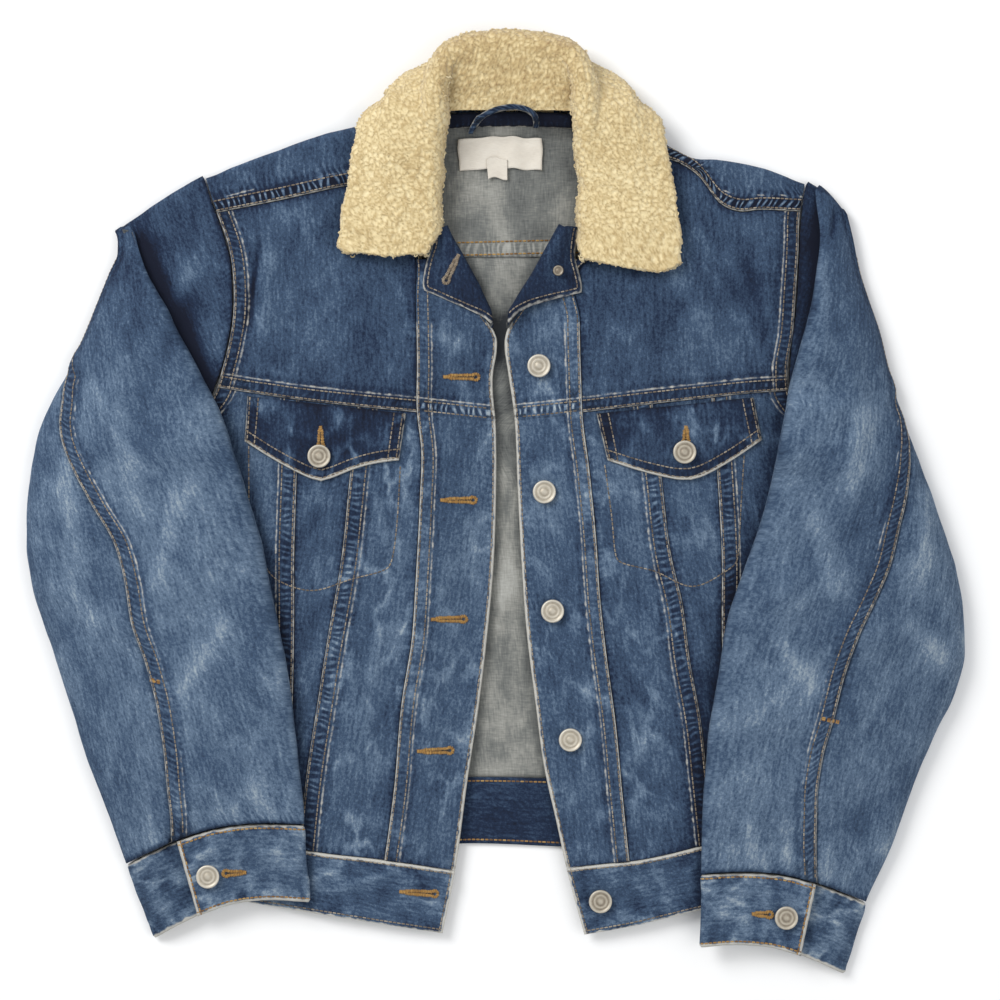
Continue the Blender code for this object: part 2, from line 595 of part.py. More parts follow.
def sleeve_section(side, row, share):
    """Point of a section: share 0 to 1 over the top, to 1.2 round the outer edge, to 2.2 back."""
    in_x, in_y, out_x, out_y, crest = sleeve_row(side, row)[4:9]
    inner_z = inner_height(side, row)
    if share <= 1:
        turn = math.pi * share
        flat = step((NARROW - math.hypot(out_x - in_x, out_y - in_y)) / 25)
        way = (1 - math.cos(turn)) / 2 * (1 - flat) + share * flat
        x, y = in_x + (out_x - in_x) * way, in_y + (out_y - in_y) * way + bow(side, row, way)
        z = inner_z + (EDGE_HEIGHT - inner_z) * way + crest * math.sin(turn) ** 0.85
        return x, y, z + float(creases(x, y)) * math.sin(turn) ** 0.5
    end_x, end_y = under_end(side, row)
    wrapped = round_part(side, row)
    turn = min((share - 1) / 0.2, 1.0) * math.pi / 2
    part = wrapped * (1 - math.cos(turn)) + max(share - 1.2, 0.0) * (1 - wrapped)
    x = out_x + (end_x - out_x) * part
    y = out_y + (end_y - out_y) * part + low_bow(side, row, part)
    return x, y, max(EDGE_HEIGHT * (1 - math.sin(turn)), float(sleeve_floor(side, x, y)))


def round_part(side, row):
    """How much of the under side the outer edge's round takes."""
    out_x, out_y = sleeve_row(side, row)[6:8]
    end_x, end_y = under_end(side, row)
    return min(0.45, WRAP / math.hypot(end_x - out_x, end_y - out_y))


def elbow_share(side, row):
    """Where the elbow seam runs on a section."""
    return min(float(sleeve_row(side, row)[9]), SEAM_END)


def under_end(side, row):
    """Where the under sleeve ends: the back armhole, then the underarm seam."""
    values = sleeve_row(side, row)
    sign = -1 if side == "right" else 1
    if row < PIT_ROW:
        y = values[1]
        return float(seam(OUTER[side])(y)) + sign * arm_room(row), y
    return values[2] + sign * GAP * 1.5, values[3]


def floor_shares(side, row):
    """Places on the way back along the floor, two of them at the body's side."""
    if row <= PIT_ROW:
        return [1.32, 1.54, 1.76, 1.98, 2.2]
    out_x, out_y = sleeve_row(side, row)[6:8]
    end_x, end_y = under_end(side, row)
    sign = -1 if side == "right" else 1
    along = np.linspace(0, 1, 201)
    line_x, line_y = out_x + (end_x - out_x) * along, out_y + (end_y - out_y) * along
    out = (line_x - seam(OUTER[side])(line_y)) * sign
    wrapped = round_part(side, row)
    foot = 1.2 + (float(along[np.argmax(out < SLOPE + 1.5)]) - wrapped) / (1 - wrapped)
    brink = 1.2 + (float(along[np.argmax(out < 1.5)]) - wrapped) / (1 - wrapped)
    return [(1.2 + foot) / 2, foot, brink, (2.2 + brink) / 2, 2.2]


def make_sleeve_upper(side, blue):
    """Top sleeve: head, pleat and the tube's top out to the elbow seam."""
    crown = 3
    head_rows = HEAD_STATIONS
    tube_rows = SLEEVE_STATIONS
    sweep = [0.0, 0.08, 0.19, 0.31, 0.44, 0.57, 0.7, 0.82, 0.91, 1.0]
    head, turn_in = 5, 5
    rows = [0.0] * crown + head_rows + tube_rows
    columns = head + turn_in + len(sweep)
    points = np.zeros((len(rows), columns, 3))
    for number, row in enumerate(rows):
        points[number, :head] = head_points(side, row, head)
        points[number, head:head + turn_in] = tuck_points(side, row)
        cut = elbow_share(side, row)
        for column, share in enumerate(sweep):
            points[number, head + turn_in + column] = upper_point(side, row, share, cut)
    over_crown(side, points[:crown, :head], points[crown, :head])
    mask = np.ones((len(rows) - 1, columns - 1), bool)
    mask[:crown + 1, head - 1:] = False
    mask[crown + len(head_rows) - 1:, :head] = False
    cloth(f"sleeve_upper_{side}", points, DENIM, blue, mask, flip=side == "left")


def upper_point(side, row, share, cut):
    """Point of the top sleeve, with its last columns on the outer edge's round."""
    if cut <= 1:
        return sleeve_section(side, row, share * cut)
    if share <= 0.82:
        return sleeve_section(side, row, share / 0.82 * 0.97)
    return sleeve_section(side, row, 0.97 + (cut - 0.97) * (share - 0.82) / 0.18)


def head_points(side, row, count):
    """The head's cloth from the armhole seam into the valley of the pleat."""
    start, stop, length, height = head_line(side, row)
    part = np.linspace(0, 1, count)
    plan = start + (stop - start) * part[:, None]
    z = height(length * (1 - part))
    z[1:-1] += creases(plan[1:-1, 0], plan[1:-1, 1]) * 0.4
    z[-1] += TUCK_ROOM / 2
    z = on_under(side, z, plan[:, 0], plan[:, 1])
    return np.column_stack([plan, z])


def tuck_points(side, row):
    """From the valley, or the underarm seam, back to just under the inner edge."""
    valley_x, valley_y, in_x, in_y = sleeve_row(side, row)[2:6]
    inward = 1 if side == "right" else -1
    first = 1.5 if row >= PIT_ROW else 0.2
    start, stop = np.array([valley_x + inward * first, valley_y]), np.array([in_x, in_y])
    length = float(np.hypot(*(stop - start)))
    wrap = min(WRAP, 0.6 * length) / max(length, 1e-6)
    part = np.array([0.0, (1 - wrap) * 0.3, (1 - wrap) * 0.6, 1 - wrap, 1 - 0.3 * wrap])
    if row < PIT_ROW:
        part[1] = 0.0
    plan = start + (stop - start) * part[:, None]
    if row > PIT_ROW:
        end = pit_share(side, row)
        plan[:, 1] += [bow(side, row, end * (1 - t)) - bow(side, row, end) * (1 - t) for t in part]
    low = np.array([float(tuck_height(side, row, x, y)) for x, y in plan])
    low[-1] += 0.29 * (inner_height(side, row) - low[-1])
    if row < PIT_ROW:
        plan[0, 0] -= inward * FOLD_ROUND
        low[0] -= TUCK_ROOM / 4
    return np.column_stack([plan, low])


def over_crown(side, wrap, edge):
    """Three rows that carry the head's cloth round the crown's fold to the floor."""
    along = edge[-1] - edge[0]
    outward = np.array([-along[1], along[0]]) * (1 if along[0] > 0 else -1)
    outward /= np.hypot(*outward)
    half = edge[:, 2] / 2
    for row, turn in enumerate((math.pi, 0.62 * math.pi, 0.3 * math.pi)):
        reach = half * math.sin(turn)
        if row == 0:
            reach = reach - WRAP * 0.7 * np.linspace(1, 0, len(half))
        plan = edge[:, :2] + outward * reach[:, None]
        limit = seam(OUTER[side])(plan[:, 1])
        if side == "right":
            plan[:, 0] = np.minimum(plan[:, 0], limit - ARM_ROOM)
        else:
            plan[:, 0] = np.maximum(plan[:, 0], limit + ARM_ROOM)
        wrap[row] = np.column_stack([plan, half * (1 + math.cos(turn))])


def make_sleeve_under(side, blue):
    """Under sleeve: round the outer edge from the elbow seam and back on the floor."""
    base = [0.5, 0.62, 0.73, 0.83, 0.91, 0.97, 1.09, 1.2]
    points = []
    for row in HEAD_STATIONS[1:] + SLEEVE_STATIONS:
        cut = elbow_share(side, row)
        floor = floor_shares(side, row)
        first = cut + seam_room(side, row, cut)
        if cut > 1:
            shares = list(np.linspace(first, floor[0], len(base) + 1)[:-1])
        else:
            shares = [max(share, first + 0.02 * number) for number, share in enumerate(base)]
        points.append([sleeve_section(side, row, share) for share in shares + floor])
    cloth(f"sleeve_under_{side}", np.array(points), DENIM, blue, flip=side == "left")


def seam_room(side, row, cut):
    """Step of share past the elbow seam that leaves room between the two cloths."""
    start = np.array(sleeve_section(side, row, cut))
    room = 0.003
    while np.linalg.norm(np.array(sleeve_section(side, row, cut + room)) - start) < SEAM_ROOM:
        room *= 1.2
    return room


def make_cuff(side, blue):
    """Cuff: a band round the wrist whose buttoned end lies over the other."""
    points = []
    for number, (inner, outer) in enumerate(CUFF[side]):
        points.append(cuff_row(side, np.array(inner, float), np.array(outer, float)))
        if number == 1:
            points.insert(1, [tuple((np.array(a) + np.array(b)) / 2)
                              for a, b in zip(points[0], points[1])])
    cloth(f"cuff_{side}", np.array(points), BAND, blue, flip=side == "right")


def cuff_row(side, inner, outer):
    """One section of a cuff, from its lap round the wrist and back under the lap."""
    lap = CUFF_LAP[side]
    path = []
    edge = float(sleeve_floor(side, *inner)) + 6.0
    for part, height in ((lap, 15.8), (lap * 0.68, 16.8), (lap * 0.36, 17.2), (0.055, 15.6)):
        path.append((part, max(height, edge + (1.5 if part > 0.1 else 3.5))))
    path.append((0.0, edge))
    side_part = body_side_part(side, inner, outer)
    for part in (0.06, side_part * 0.5, side_part, side_part + SLOPE / 130, 0.93):
        plan = inner + (outer - inner) * part
        path.append((part, float(sleeve_floor(side, *plan)) if part <= side_part else 0.0))
    path.append((1.0, 5.0))
    for part, height in ((0.95, 10.2), (0.5 + lap / 2, 12.6), (lap, 13.2), (lap - 0.05, 13.4)):
        path.append((part, height))
    rows = []
    for part, height in path:
        x, y = inner + (outer - inner) * part
        rows.append((x, y + SLEEVE_BOW[side] * math.sin(math.pi * part), height))
    return rows


def body_side_part(side, inner, outer):
    """Place on the cuff's line that lies just outside the body's side seam."""
    along = np.linspace(0, 1, 201)
    x = inner[0] + (outer[0] - inner[0]) * along
    y = inner[1] + (outer[1] - inner[1]) * along
    out = (x - seam(OUTER[side])(y)) * (-1 if side == "right" else 1)
    return float(along[np.argmax(out > 1.2)])


# ================================================================ the collar
def collar_section(row, mirror, depth):
    """One collar section at a depth under its outer face, from the neck seam to the edge."""
    table = [(number, *values) for number, values in enumerate(COLLAR)]
    (neck_d, neck_y, mid_d, mid_y, mid_z, fall_d, fall_y, fall_z,
     edge_d, edge_y, edge_z, plan_turn, face_turn) = through(table, row)
    plan_turn, face_turn = math.radians(plan_turn), math.radians(face_turn)
    out = np.array([math.sin(plan_turn), math.cos(plan_turn), 0.0])
    seam_z = NECK_SEAM_Z + 1.8 * step((row - 0.5) / 2.5)
    face = out * math.cos(face_turn) + UP * math.sin(face_turn)
    neck = np.array([neck_d, neck_y, seam_z + COLLAR_WALL * face[2]]) - face * depth
    centre = np.array([mid_d, mid_y, mid_z])
    arc = [centre + (COLLAR_ROLL - depth)
           * (out * math.cos(face_turn - turn) + UP * math.sin(face_turn - turn))
           for turn in np.linspace(0, math.pi, 5)]
    fall = np.array([fall_d, fall_y, fall_z])
    edge = np.array([edge_d, edge_y, edge_z])
    along = edge - (centre - COLLAR_ROLL * face)
    along /= np.linalg.norm(along)
    normal = -face + along * float(face @ along)
    normal /= np.linalg.norm(normal)
    fall, edge = fall - depth * normal, edge - depth * normal
    path = [neck, 0.5 * (neck + arc[0]), *arc, 0.5 * (arc[-1] + fall), fall,
            0.5 * (fall + edge), edge]
    section = np.array(path)
    section[:, 2] = np.maximum(section[:, 2], 0.15 + depth * 0.2)
    section[:, 0] = COLLAR_MIDDLE + section[:, 0] * (1 if mirror else -1)
    return section


def collar_face(depth):
    """The collar's grid of points at a depth under the fleece's outer face."""
    rows = [collar_section(row, False, depth) for row in COLLAR_STATIONS]
    rows += [collar_section(row, True, depth) for row in COLLAR_STATIONS[-2::-1]]
    return np.array(rows)


def make_collar(cream, dark):
    """Sherpa top collar and the denim collar under it."""
    shell("collar_fleece", collar_face(0.0), collar_face(SHERPA), cream)
    top = SHERPA + GAP
    shell("under_collar", collar_face(top), collar_face(top + DENIM), dark)


# ================================================================ small pieces
def make_flap(side, blue):
    """Pocket flap: a pointed pentagon that lies on the panels under the yoke seam."""
    top_a, top_b, low_a, tip, low_b = (np.array(p, float) for p in FLAP[side])
    across = np.linspace(0, 1, 9)[None, :, None]
    down = np.linspace(0, 1, 5)[:, None, None]
    top = top_a + (top_b - top_a) * across
    low = np.where(across < 0.5, low_a + (tip - low_a) * across * 2,
                   tip + (low_b - tip) * (across * 2 - 1))
    plan = low + (top - low) * down
    points = on_front(plan[..., 0], plan[..., 1], DENIM + LIE + BAND)
    cloth(f"pocket_flap_{side}", points, BAND, blue)


def make_lapel(side, dark):
    """Turned-out top corner of the front: rolls at the front edge and lies outward."""
    table = [(number, *roll, *edge) for number, (roll, edge) in enumerate(LAPEL[side])]
    lift = LAPEL_LIFT[side]
    run = np.array(LAPEL[side][-1][0], float) - np.array(LAPEL[side][0][0], float)
    run /= np.hypot(*run)
    inward = np.array([run[1], -run[0]]) * (1 if side == "right" else -1)
    rows = []
    for station in np.linspace(0, len(table) - 1, 8):
        roll_x, roll_y, edge_x, edge_y = through(table, station)
        roll, edge = np.array([roll_x, roll_y]), np.array([edge_x, edge_y])
        under = float(front_under(roll_x, roll_y))
        rise = lift * (0.9 + 0.1 * step(station / 2))
        row = []
        for reach, height in ((0.0, 0.3), (2.7, 1.3), (4.0, rise * 0.5), (2.7, rise - 1.0),
                              (-0.5, rise)):
            row.append((*(roll + inward * reach), under + height))
        for part in (0.4, 0.7, 1.0):
            plan = roll + (edge - roll) * part
            rest = float(front_under(*plan)) + DOUBLE + LIE + LAPEL_WALL
            high = under + rise + 0.5
            row.append((*plan, max(rest, high + (rest - high) * part ** 1.5)))
        rows.append(row)
    cloth(f"lapel_facing_{side}", np.array(rows), LAPEL_WALL, dark, flip=side == "right")


def turned(name, profile, place, normal, material, steps=10):
    """A turned piece on the cloth: its profile, a Screw, its seat and its tilt."""
    mesh = bpy.data.meshes.new(name)
    points = [(radius * MM, 0.0, height * MM) for radius, height in profile]
    mesh.from_pydata(points, [(i, i + 1) for i in range(len(points) - 1)], [])
    piece = add_object(name, mesh, material)
    screw = piece.modifiers.new("turn", "SCREW")
    screw.steps = steps
    screw.render_steps = steps
    screw.use_merge_vertices = True
    screw.merge_threshold = 0.00001
    piece.location = [value * MM for value in np.asarray(place, float) - MIDDLE]
    axis = np.cross(UP, normal)
    angle = math.acos(float(np.clip(normal[2], -1, 1)))
    piece.rotation_mode = "AXIS_ANGLE"
    piece.rotation_axis_angle = (angle, *(axis if angle > 1e-4 else (1.0, 0.0, 0.0)))
    return piece


def seat(height, x, y):
    """Point above a height function and the function's normal there."""
    d = SEAT_REACH
    slope_x = (float(height(x + d, y)) - float(height(x - d, y))) / (2 * d)
    slope_y = (float(height(x, y + d)) - float(height(x, y - d))) / (2 * d)
    normal = np.array([-slope_x, -slope_y, 1.0])
    normal /= np.linalg.norm(normal)
    turn = np.linspace(0, 2 * math.pi, 9)[:-1]
    around = height(x + d * np.cos(turn), y + d * np.sin(turn))
    top = max(float(height(x, y)), float(np.mean(around)))
    return np.array([x, y, top]) + normal * SEAT, normal


def make_buttons(nickel):
    """Shank buttons of the front, the hem, the flaps, the cuffs and the neck."""
    def over(lift):
        return lambda x, y: front_under(x, y) + lift

    for number, (x, y) in enumerate(FRONT_BUTTONS, 1):
        turned(f"front_button_{number}", BUTTON_PROFILE, *seat(over(DOUBLE), x, y), nickel)
    turned("hem_button", BUTTON_PROFILE, *seat(over(BAND), *HEM_BUTTON), nickel)
    for side in SIDES:
        place = seat(over(DENIM + LIE + BAND), *FLAP_BUTTON[side])
        turned(f"flap_button_{side}", BUTTON_PROFILE, *place, nickel)
        x, y = CUFF_BUTTON[side]
        turned(f"cuff_button_{side}", BUTTON_PROFILE, (x, y, CUFF_TOP[side]), UP, nickel)
    x, y = NECK_BUTTON
    turned("neck_button", BUTTON_PROFILE, *seat(over(DOUBLE), x, y), nickel)
    turned("neck_button_stud", STUD_PROFILE, (x, y, STUD_TOP), UP, nickel)


def on_yoke(x, y, lift):
    """Points that lie lift above the yoke's upper face inside the back, row by row of it."""
    low = BACK_YOKE_SEAM + GAP / 2
    span = seam(BACK_NECK)(x) - GAP - low
    share = np.clip((y - low) / span, 0, 1)
    number = np.clip(np.searchsorted(YOKE_RISE, share) - 1, 0, len(YOKE_RISE) - 2)
    first, second = np.take(YOKE_RISE, number), np.take(YOKE_RISE, number + 1)
    part = (share - first) / (second - first)
    z = neck_lift(x, low + span * first) * (1 - part) + neck_lift(x, low + span * second) * part
    return np.stack([x, y, z + DENIM + lift], axis=-1)


def make_neck_trim(dark, white):
    """Neck tape, hanger loop, bare label and bare size tab inside the back neck."""
    low = BACK_YOKE_SEAM + GAP / 2
    x = np.linspace(-34, 56, 9)[None, :] + np.zeros((3, 1))
    span = seam(BACK_NECK)(x) - GAP - low
    y = low + span * np.array([0.91, 0.96, 0.99])[:, None]
    cloth("neck_tape", on_yoke(x, y, 1.0 + TAPE_LIE), 1.0, dark)
    for name, ((x0, y0), (x1, y1)) in (("neck_label", LABEL), ("size_tab", SIZE_TAB)):
        x, y = np.meshgrid(np.linspace(x0, x1, 4), np.linspace(y1, y0, 4))
        cloth(name, on_yoke(x, y, 0.8 + GAP), 0.8, white)
    turn = np.linspace(0, math.pi, 11)[None, :]
    width = np.array([0.0, 1.0])[:, None]
    x = 10 + (21 - 4.5 * width) * -np.cos(turn)
    y = 273 + (16 - 4.5 * width) * np.sin(turn)
    points = on_yoke(x, y, 1.0 + 2 * TAPE_LIE + 1.4)
    points[..., 2] += 9.0 * step((y - 275) / 5)
    cloth("hanger_loop", points, 1.4, dark, flip=True)


def main():
    """Build the jacket in an empty scene."""
    for old in list(bpy.data.objects):
        bpy.data.objects.remove(old, do_unlink=True)
    collection = bpy.data.collections.new("denim_jacket")
    bpy.context.scene.collection.children.link(collection)
    blue = finish("denim", DENIM_BLUE)
    dark = finish("denim_dark", DENIM_DARK)
    grey = finish("denim_reverse", DENIM_GREY)
    cream = finish("sherpa", CREAM, 1.0)
    white = finish("label", WHITE_TAPE, 0.8)
    nickel = finish("nickel", NICKEL, 0.35, 1.0)
    make_back(blue, grey)
    make_back_yoke(blue)
    for side in SIDES:
        make_front(side, blue)
        make_sleeve_upper(side, blue)
        make_sleeve_under(side, blue)
        make_cuff(side, blue)
        make_flap(side, blue)
        make_lapel(side, dark)
    make_collar(cream, dark)
    make_neck_trim(dark, white)
    make_buttons(nickel)


main()
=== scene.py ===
"""Denim trucker jacket with a sherpa collar, laid flat on its back, fronts a little open.

Frame: metres, +Z up, the jacket lies on z = 0 with its face up and its collar towards +Y.
The tables are in millimetres in the cutter's frame, and MIDDLE moves them to the part's.
Every cloth is one grid of points on its outer face, worked out as whole arrays, and Solidify
gives it its wall towards the inside, where it shows the grey reverse of the denim.
"""
from __future__ import annotations

import logging
import math
from dataclasses import dataclass, field
from enum import Enum
from functools import reduce
from typing import Callable, Optional, Sequence

import bpy
import numpy as np
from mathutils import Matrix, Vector
from mathutils.bvhtree import BVHTree

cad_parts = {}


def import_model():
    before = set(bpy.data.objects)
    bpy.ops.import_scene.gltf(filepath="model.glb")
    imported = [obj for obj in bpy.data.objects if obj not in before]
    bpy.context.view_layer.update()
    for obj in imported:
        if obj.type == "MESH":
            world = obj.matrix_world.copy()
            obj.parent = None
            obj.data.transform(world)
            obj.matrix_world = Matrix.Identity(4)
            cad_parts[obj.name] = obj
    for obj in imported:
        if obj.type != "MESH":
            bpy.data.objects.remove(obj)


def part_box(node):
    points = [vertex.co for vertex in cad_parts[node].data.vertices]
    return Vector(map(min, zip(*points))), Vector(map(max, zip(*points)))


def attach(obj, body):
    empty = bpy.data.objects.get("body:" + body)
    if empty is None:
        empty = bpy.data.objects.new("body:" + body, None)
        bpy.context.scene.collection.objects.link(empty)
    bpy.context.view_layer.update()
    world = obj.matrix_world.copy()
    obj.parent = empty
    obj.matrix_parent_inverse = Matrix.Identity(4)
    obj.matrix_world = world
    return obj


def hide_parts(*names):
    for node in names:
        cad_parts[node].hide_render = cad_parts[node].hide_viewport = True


LOG = logging.getLogger("jacket")
Array = np.ndarray
Curve = Callable[[Array], Array]
Socket = bpy.types.NodeSocket

MM = 0.001
MIDDLE = np.array([0.41, -0.78, 0.0])      # middle of the jacket's outline in the tables' frame
UP = np.array([0.0, 0.0, 1.0])


class Side(Enum):
    """The wearer's side: right is at -X, left is at +X."""

    RIGHT = "right"
    LEFT = "left"

    @property
    def inward(self) -> int:
        """Direction of X towards the body's middle."""
        return 1 if self is Side.RIGHT else -1


R, L = Side.RIGHT, Side.LEFT

# ---------------------------------------------------------------- driving sizes (mm)
DENIM, DOUBLE, BAND = 1.2, 2.0, 2.4        # one cloth, two cloths, a band turned double
LAPEL_WALL = 1.6           # the turned-out corner, two cloths pressed
SHERPA = 6.5               # pile and its knitted back
GAP = 0.34                 # between two pieces at a seam
LIE = 0.5                  # under a piece that lies on a panel
SLEEVE_LIE = 1.2           # under a sleeve or cuff, over the hem band's height
TAPE_LIE = 0.8             # under the neck tape, where the yoke bends
TAPE, LOOP, LABEL_WALL = 1.0, 1.4, 0.8     # walls of the neck tape, the hanger loop, the label
COLLAR_MIDDLE = 11.0       # x of the collar's middle
NECK_HALF = 86.0           # half width of the neck where the shoulders start
NECK_END = 177.0           # the placket ends here, under the collar's front end
ROLL_ROOM = 1.8            # the placket stops short of the lapel's roll
NECK_LIFT, LIFT_HALF, LIFT_START = 11.0, 84.0, 264.0   # the back neck over the collar's fall
COLLAR_ROLL, COLLAR_WALL, NECK_SEAM_Z = 11.5, 8.2, 11.0
BACK_YOKE_SEAM = 186.0
YOKE_RISE = [0, 0.3, 0.6, 0.788, 0.85, 0.91, 0.96, 1.0]

# ------------------------------------------------ seams that run down the body: y, x
OUTER = {     # side seam up to the underarm, then the armhole
    R: [(-320, -210), (-253, -216), (-189, -221), (-101, -228), (-14, -234), (47, -237),
        (59, -221), (76, -207), (99, -199), (124, -193), (154, -191), (187, -195),
        (215, -205), (237, -212)],
    L: [(-320, 226), (-246, 231), (-189, 237), (-101, 243), (-14, 247), (49, 250),
        (59, 231), (73, 218), (95, 214), (124, 218), (153, 220), (184, 222),
        (210, 223), (233, 227)],
}
EDGE = {      # front edge up to the break of the lapel, then its roll line
    R: [(-320, -39), (-270, -29), (-205, -20), (-145, -11), (-94, -5), (-50, -1), (1, 1),
        (52, 1), (95, -1), (110, 1.5), (119, 1.5), (127, -1.5), (135, -6), (151, -13), (173, -24),
        (192, -33)],
    L: [(-320, 66), (-268, 52), (-236, 45), (-196, 36), (-145, 29), (-97, 23), (-43, 19),
        (16, 16), (60, 14), (96, 9), (110, 7), (119, 7), (127, 9), (135, 13), (152, 25), (176, 38),
        (192, 50)],
}
PLACKET = {   # inner seam of the placket, then the neck seam up to the shoulder
    R: [(-270, -82), (-211, -74), (-145, -68), (-101, -61), (-57, -58), (1, -55),
        (38, -54), (65, -57), (103, -57), (147, -58), (184, -60), (200, -69),
        (216, -74), (235, -76)],
    L: [(-270, 99), (-211, 93), (-160, 88), (-116, 82), (-72, 77), (-28, 74), (23, 69),
        (63, 64), (89, 63), (132, 62), (172, 63), (187, 82), (200, 91), (228, 98),
        (252, 98)],
}
INNER_VEE = {
    R: [(-258, -138), (-203, -132), (-145, -123), (-101, -116), (-43, -106), (23, -99),
        (75, -93)],
    L: [(-258, 155), (-203, 149), (-160, 144), (-116, 136), (-72, 130), (-43, 123),
        (19, 115), (75, 108)],
}
OUTER_VEE = {
    R: [(-256, -158), (-174, -155), (-87, -153), (-43, -153), (19, -151), (80, -149)],
    L: [(-256, 177), (-174, 174), (-87, 172), (-43, 172), (27, 168), (80, 164)],
}

# ------------------------------------------------ seams that run across the body: x, y
SHOULDER_TOP = {   # the fold at the top of the shoulder
    R: [(-214, 236), (-186, 247), (-157, 258), (-120, 270), (-95, 276), (-74, 278)],
    L: [(96, 273), (110, 270), (124, 262), (142, 252), (164, 250), (193, 245), (229, 232)],
}
SHOULDER_SEAM = {
    R: [(-204, 211), (-157, 220), (-110, 230), (-74, 235)],
    L: [(96, 250), (113, 251), (129, 249), (150, 236), (164, 218), (177, 212), (193, 213),
        (223, 212)],
}
YOKE_SEAM = {
    R: [(-207, 84), (-182, 80), (-142, 74), (-99, 69), (-57, 65), (1, 59)],
    L: [(15, 60), (64, 65), (106, 70), (150, 75), (186, 79), (214, 81)],
}
BAND_TOP = {
    R: [(-216, -246), (-186, -249), (-158, -251), (-138, -255), (-81, -262), (-29, -270)],
    L: [(52, -268), (77, -265), (106, -262), (126, -258), (155, -251), (193, -246),
        (231, -244)],
}
BAND_HEM = {
    R: [(-213, -288), (-172, -295), (-128, -302), (-84, -309), (-39, -316)],
    L: [(66, -317), (99, -311), (150, -299), (193, -290), (228, -282)],
}
BACK_BAND_TOP = [(-218, -246), (-142, -216), (-69, -204), (-26, -202), (44, -203), (106, -206),
                 (179, -219), (232, -244)]
BACK_BAND_HEM = [(-213, -287), (-142, -265), (-69, -254), (-26, -251), (44, -253), (106, -256),
                 (179, -266), (228, -282)]
BACK_NECK = [(-86, 272), (-75, 277), (-51, 281), (-26, 284), (11, 285), (48, 284), (73, 281),
             (97, 272)]

# ------------------------------------ height of the front's under side over its width
# y, then the height at the outer seam, at 1/4, 1/2, 3/4 of the width, and at the front edge
LOFT = [
    (-320, 3.5, 5.8, 8.5, 8.8, 7.6), (-240, 3.0, 6.5, 9.2, 10.0, 7.4),
    (-170, 2.1, 7.0, 11.5, 12.5, 6.9), (-80, 2.1, 7.5, 13.5, 14.5, 6.6),
    (10, 2.1, 8.5, 15.0, 15.5, 6.6), (55, 3.5, 10.0, 16.0, 15.5, 6.6),
    (100, 8.0, 12.5, 16.0, 15.0, 6.8), (150, 9.0, 12.5, 15.0, 13.0, 8.0),
    (190, 8.0, 11.0, 13.0, 12.0, 10.5), (225, 6.0, 9.0, 11.0, 12.5, 13.0),
    (250, 5.0, 8.0, 11.0, 13.5, 14.0), (285, 6.0, 9.0, 12.0, 14.0, 14.0),
]
# large creases: start x, y, end x, y, half width, height
CREASES = [
    (-196, 170, -176, 96, 9, 2.6), (-178, 118, -128, 104, 10, 1.8), (-150, 200, -100, 150, 16, 1.8),
    (-120, -80, -96, -170, 12, 1.8), (-110, 20, -84, -40, 10, 1.6), (206, 196, 196, 118, 10, 2.2),
    (120, 190, 100, 120, 15, 1.8), (110, -90, 128, -190, 12, 1.8), (96, 12, 92, -60, 9, 1.6),
    (-250, 150, -285, 40, 13, 3.0), (-205, -30, -270, -90, 14, 3.2),
    (-170, -120, -255, -150, 12, 2.6), (-176, -190, -240, -205, 11, 2.0),
    (-300, 20, -322, -70, 12, 2.2), (248, 100, 262, -20, 13, 3.0), (205, -60, 290, -110, 14, 3.2),
    (185, -140, 262, -172, 12, 2.6), (190, -215, 250, -228, 11, 2.0), (300, 10, 325, -80, 12, 2.2),
]
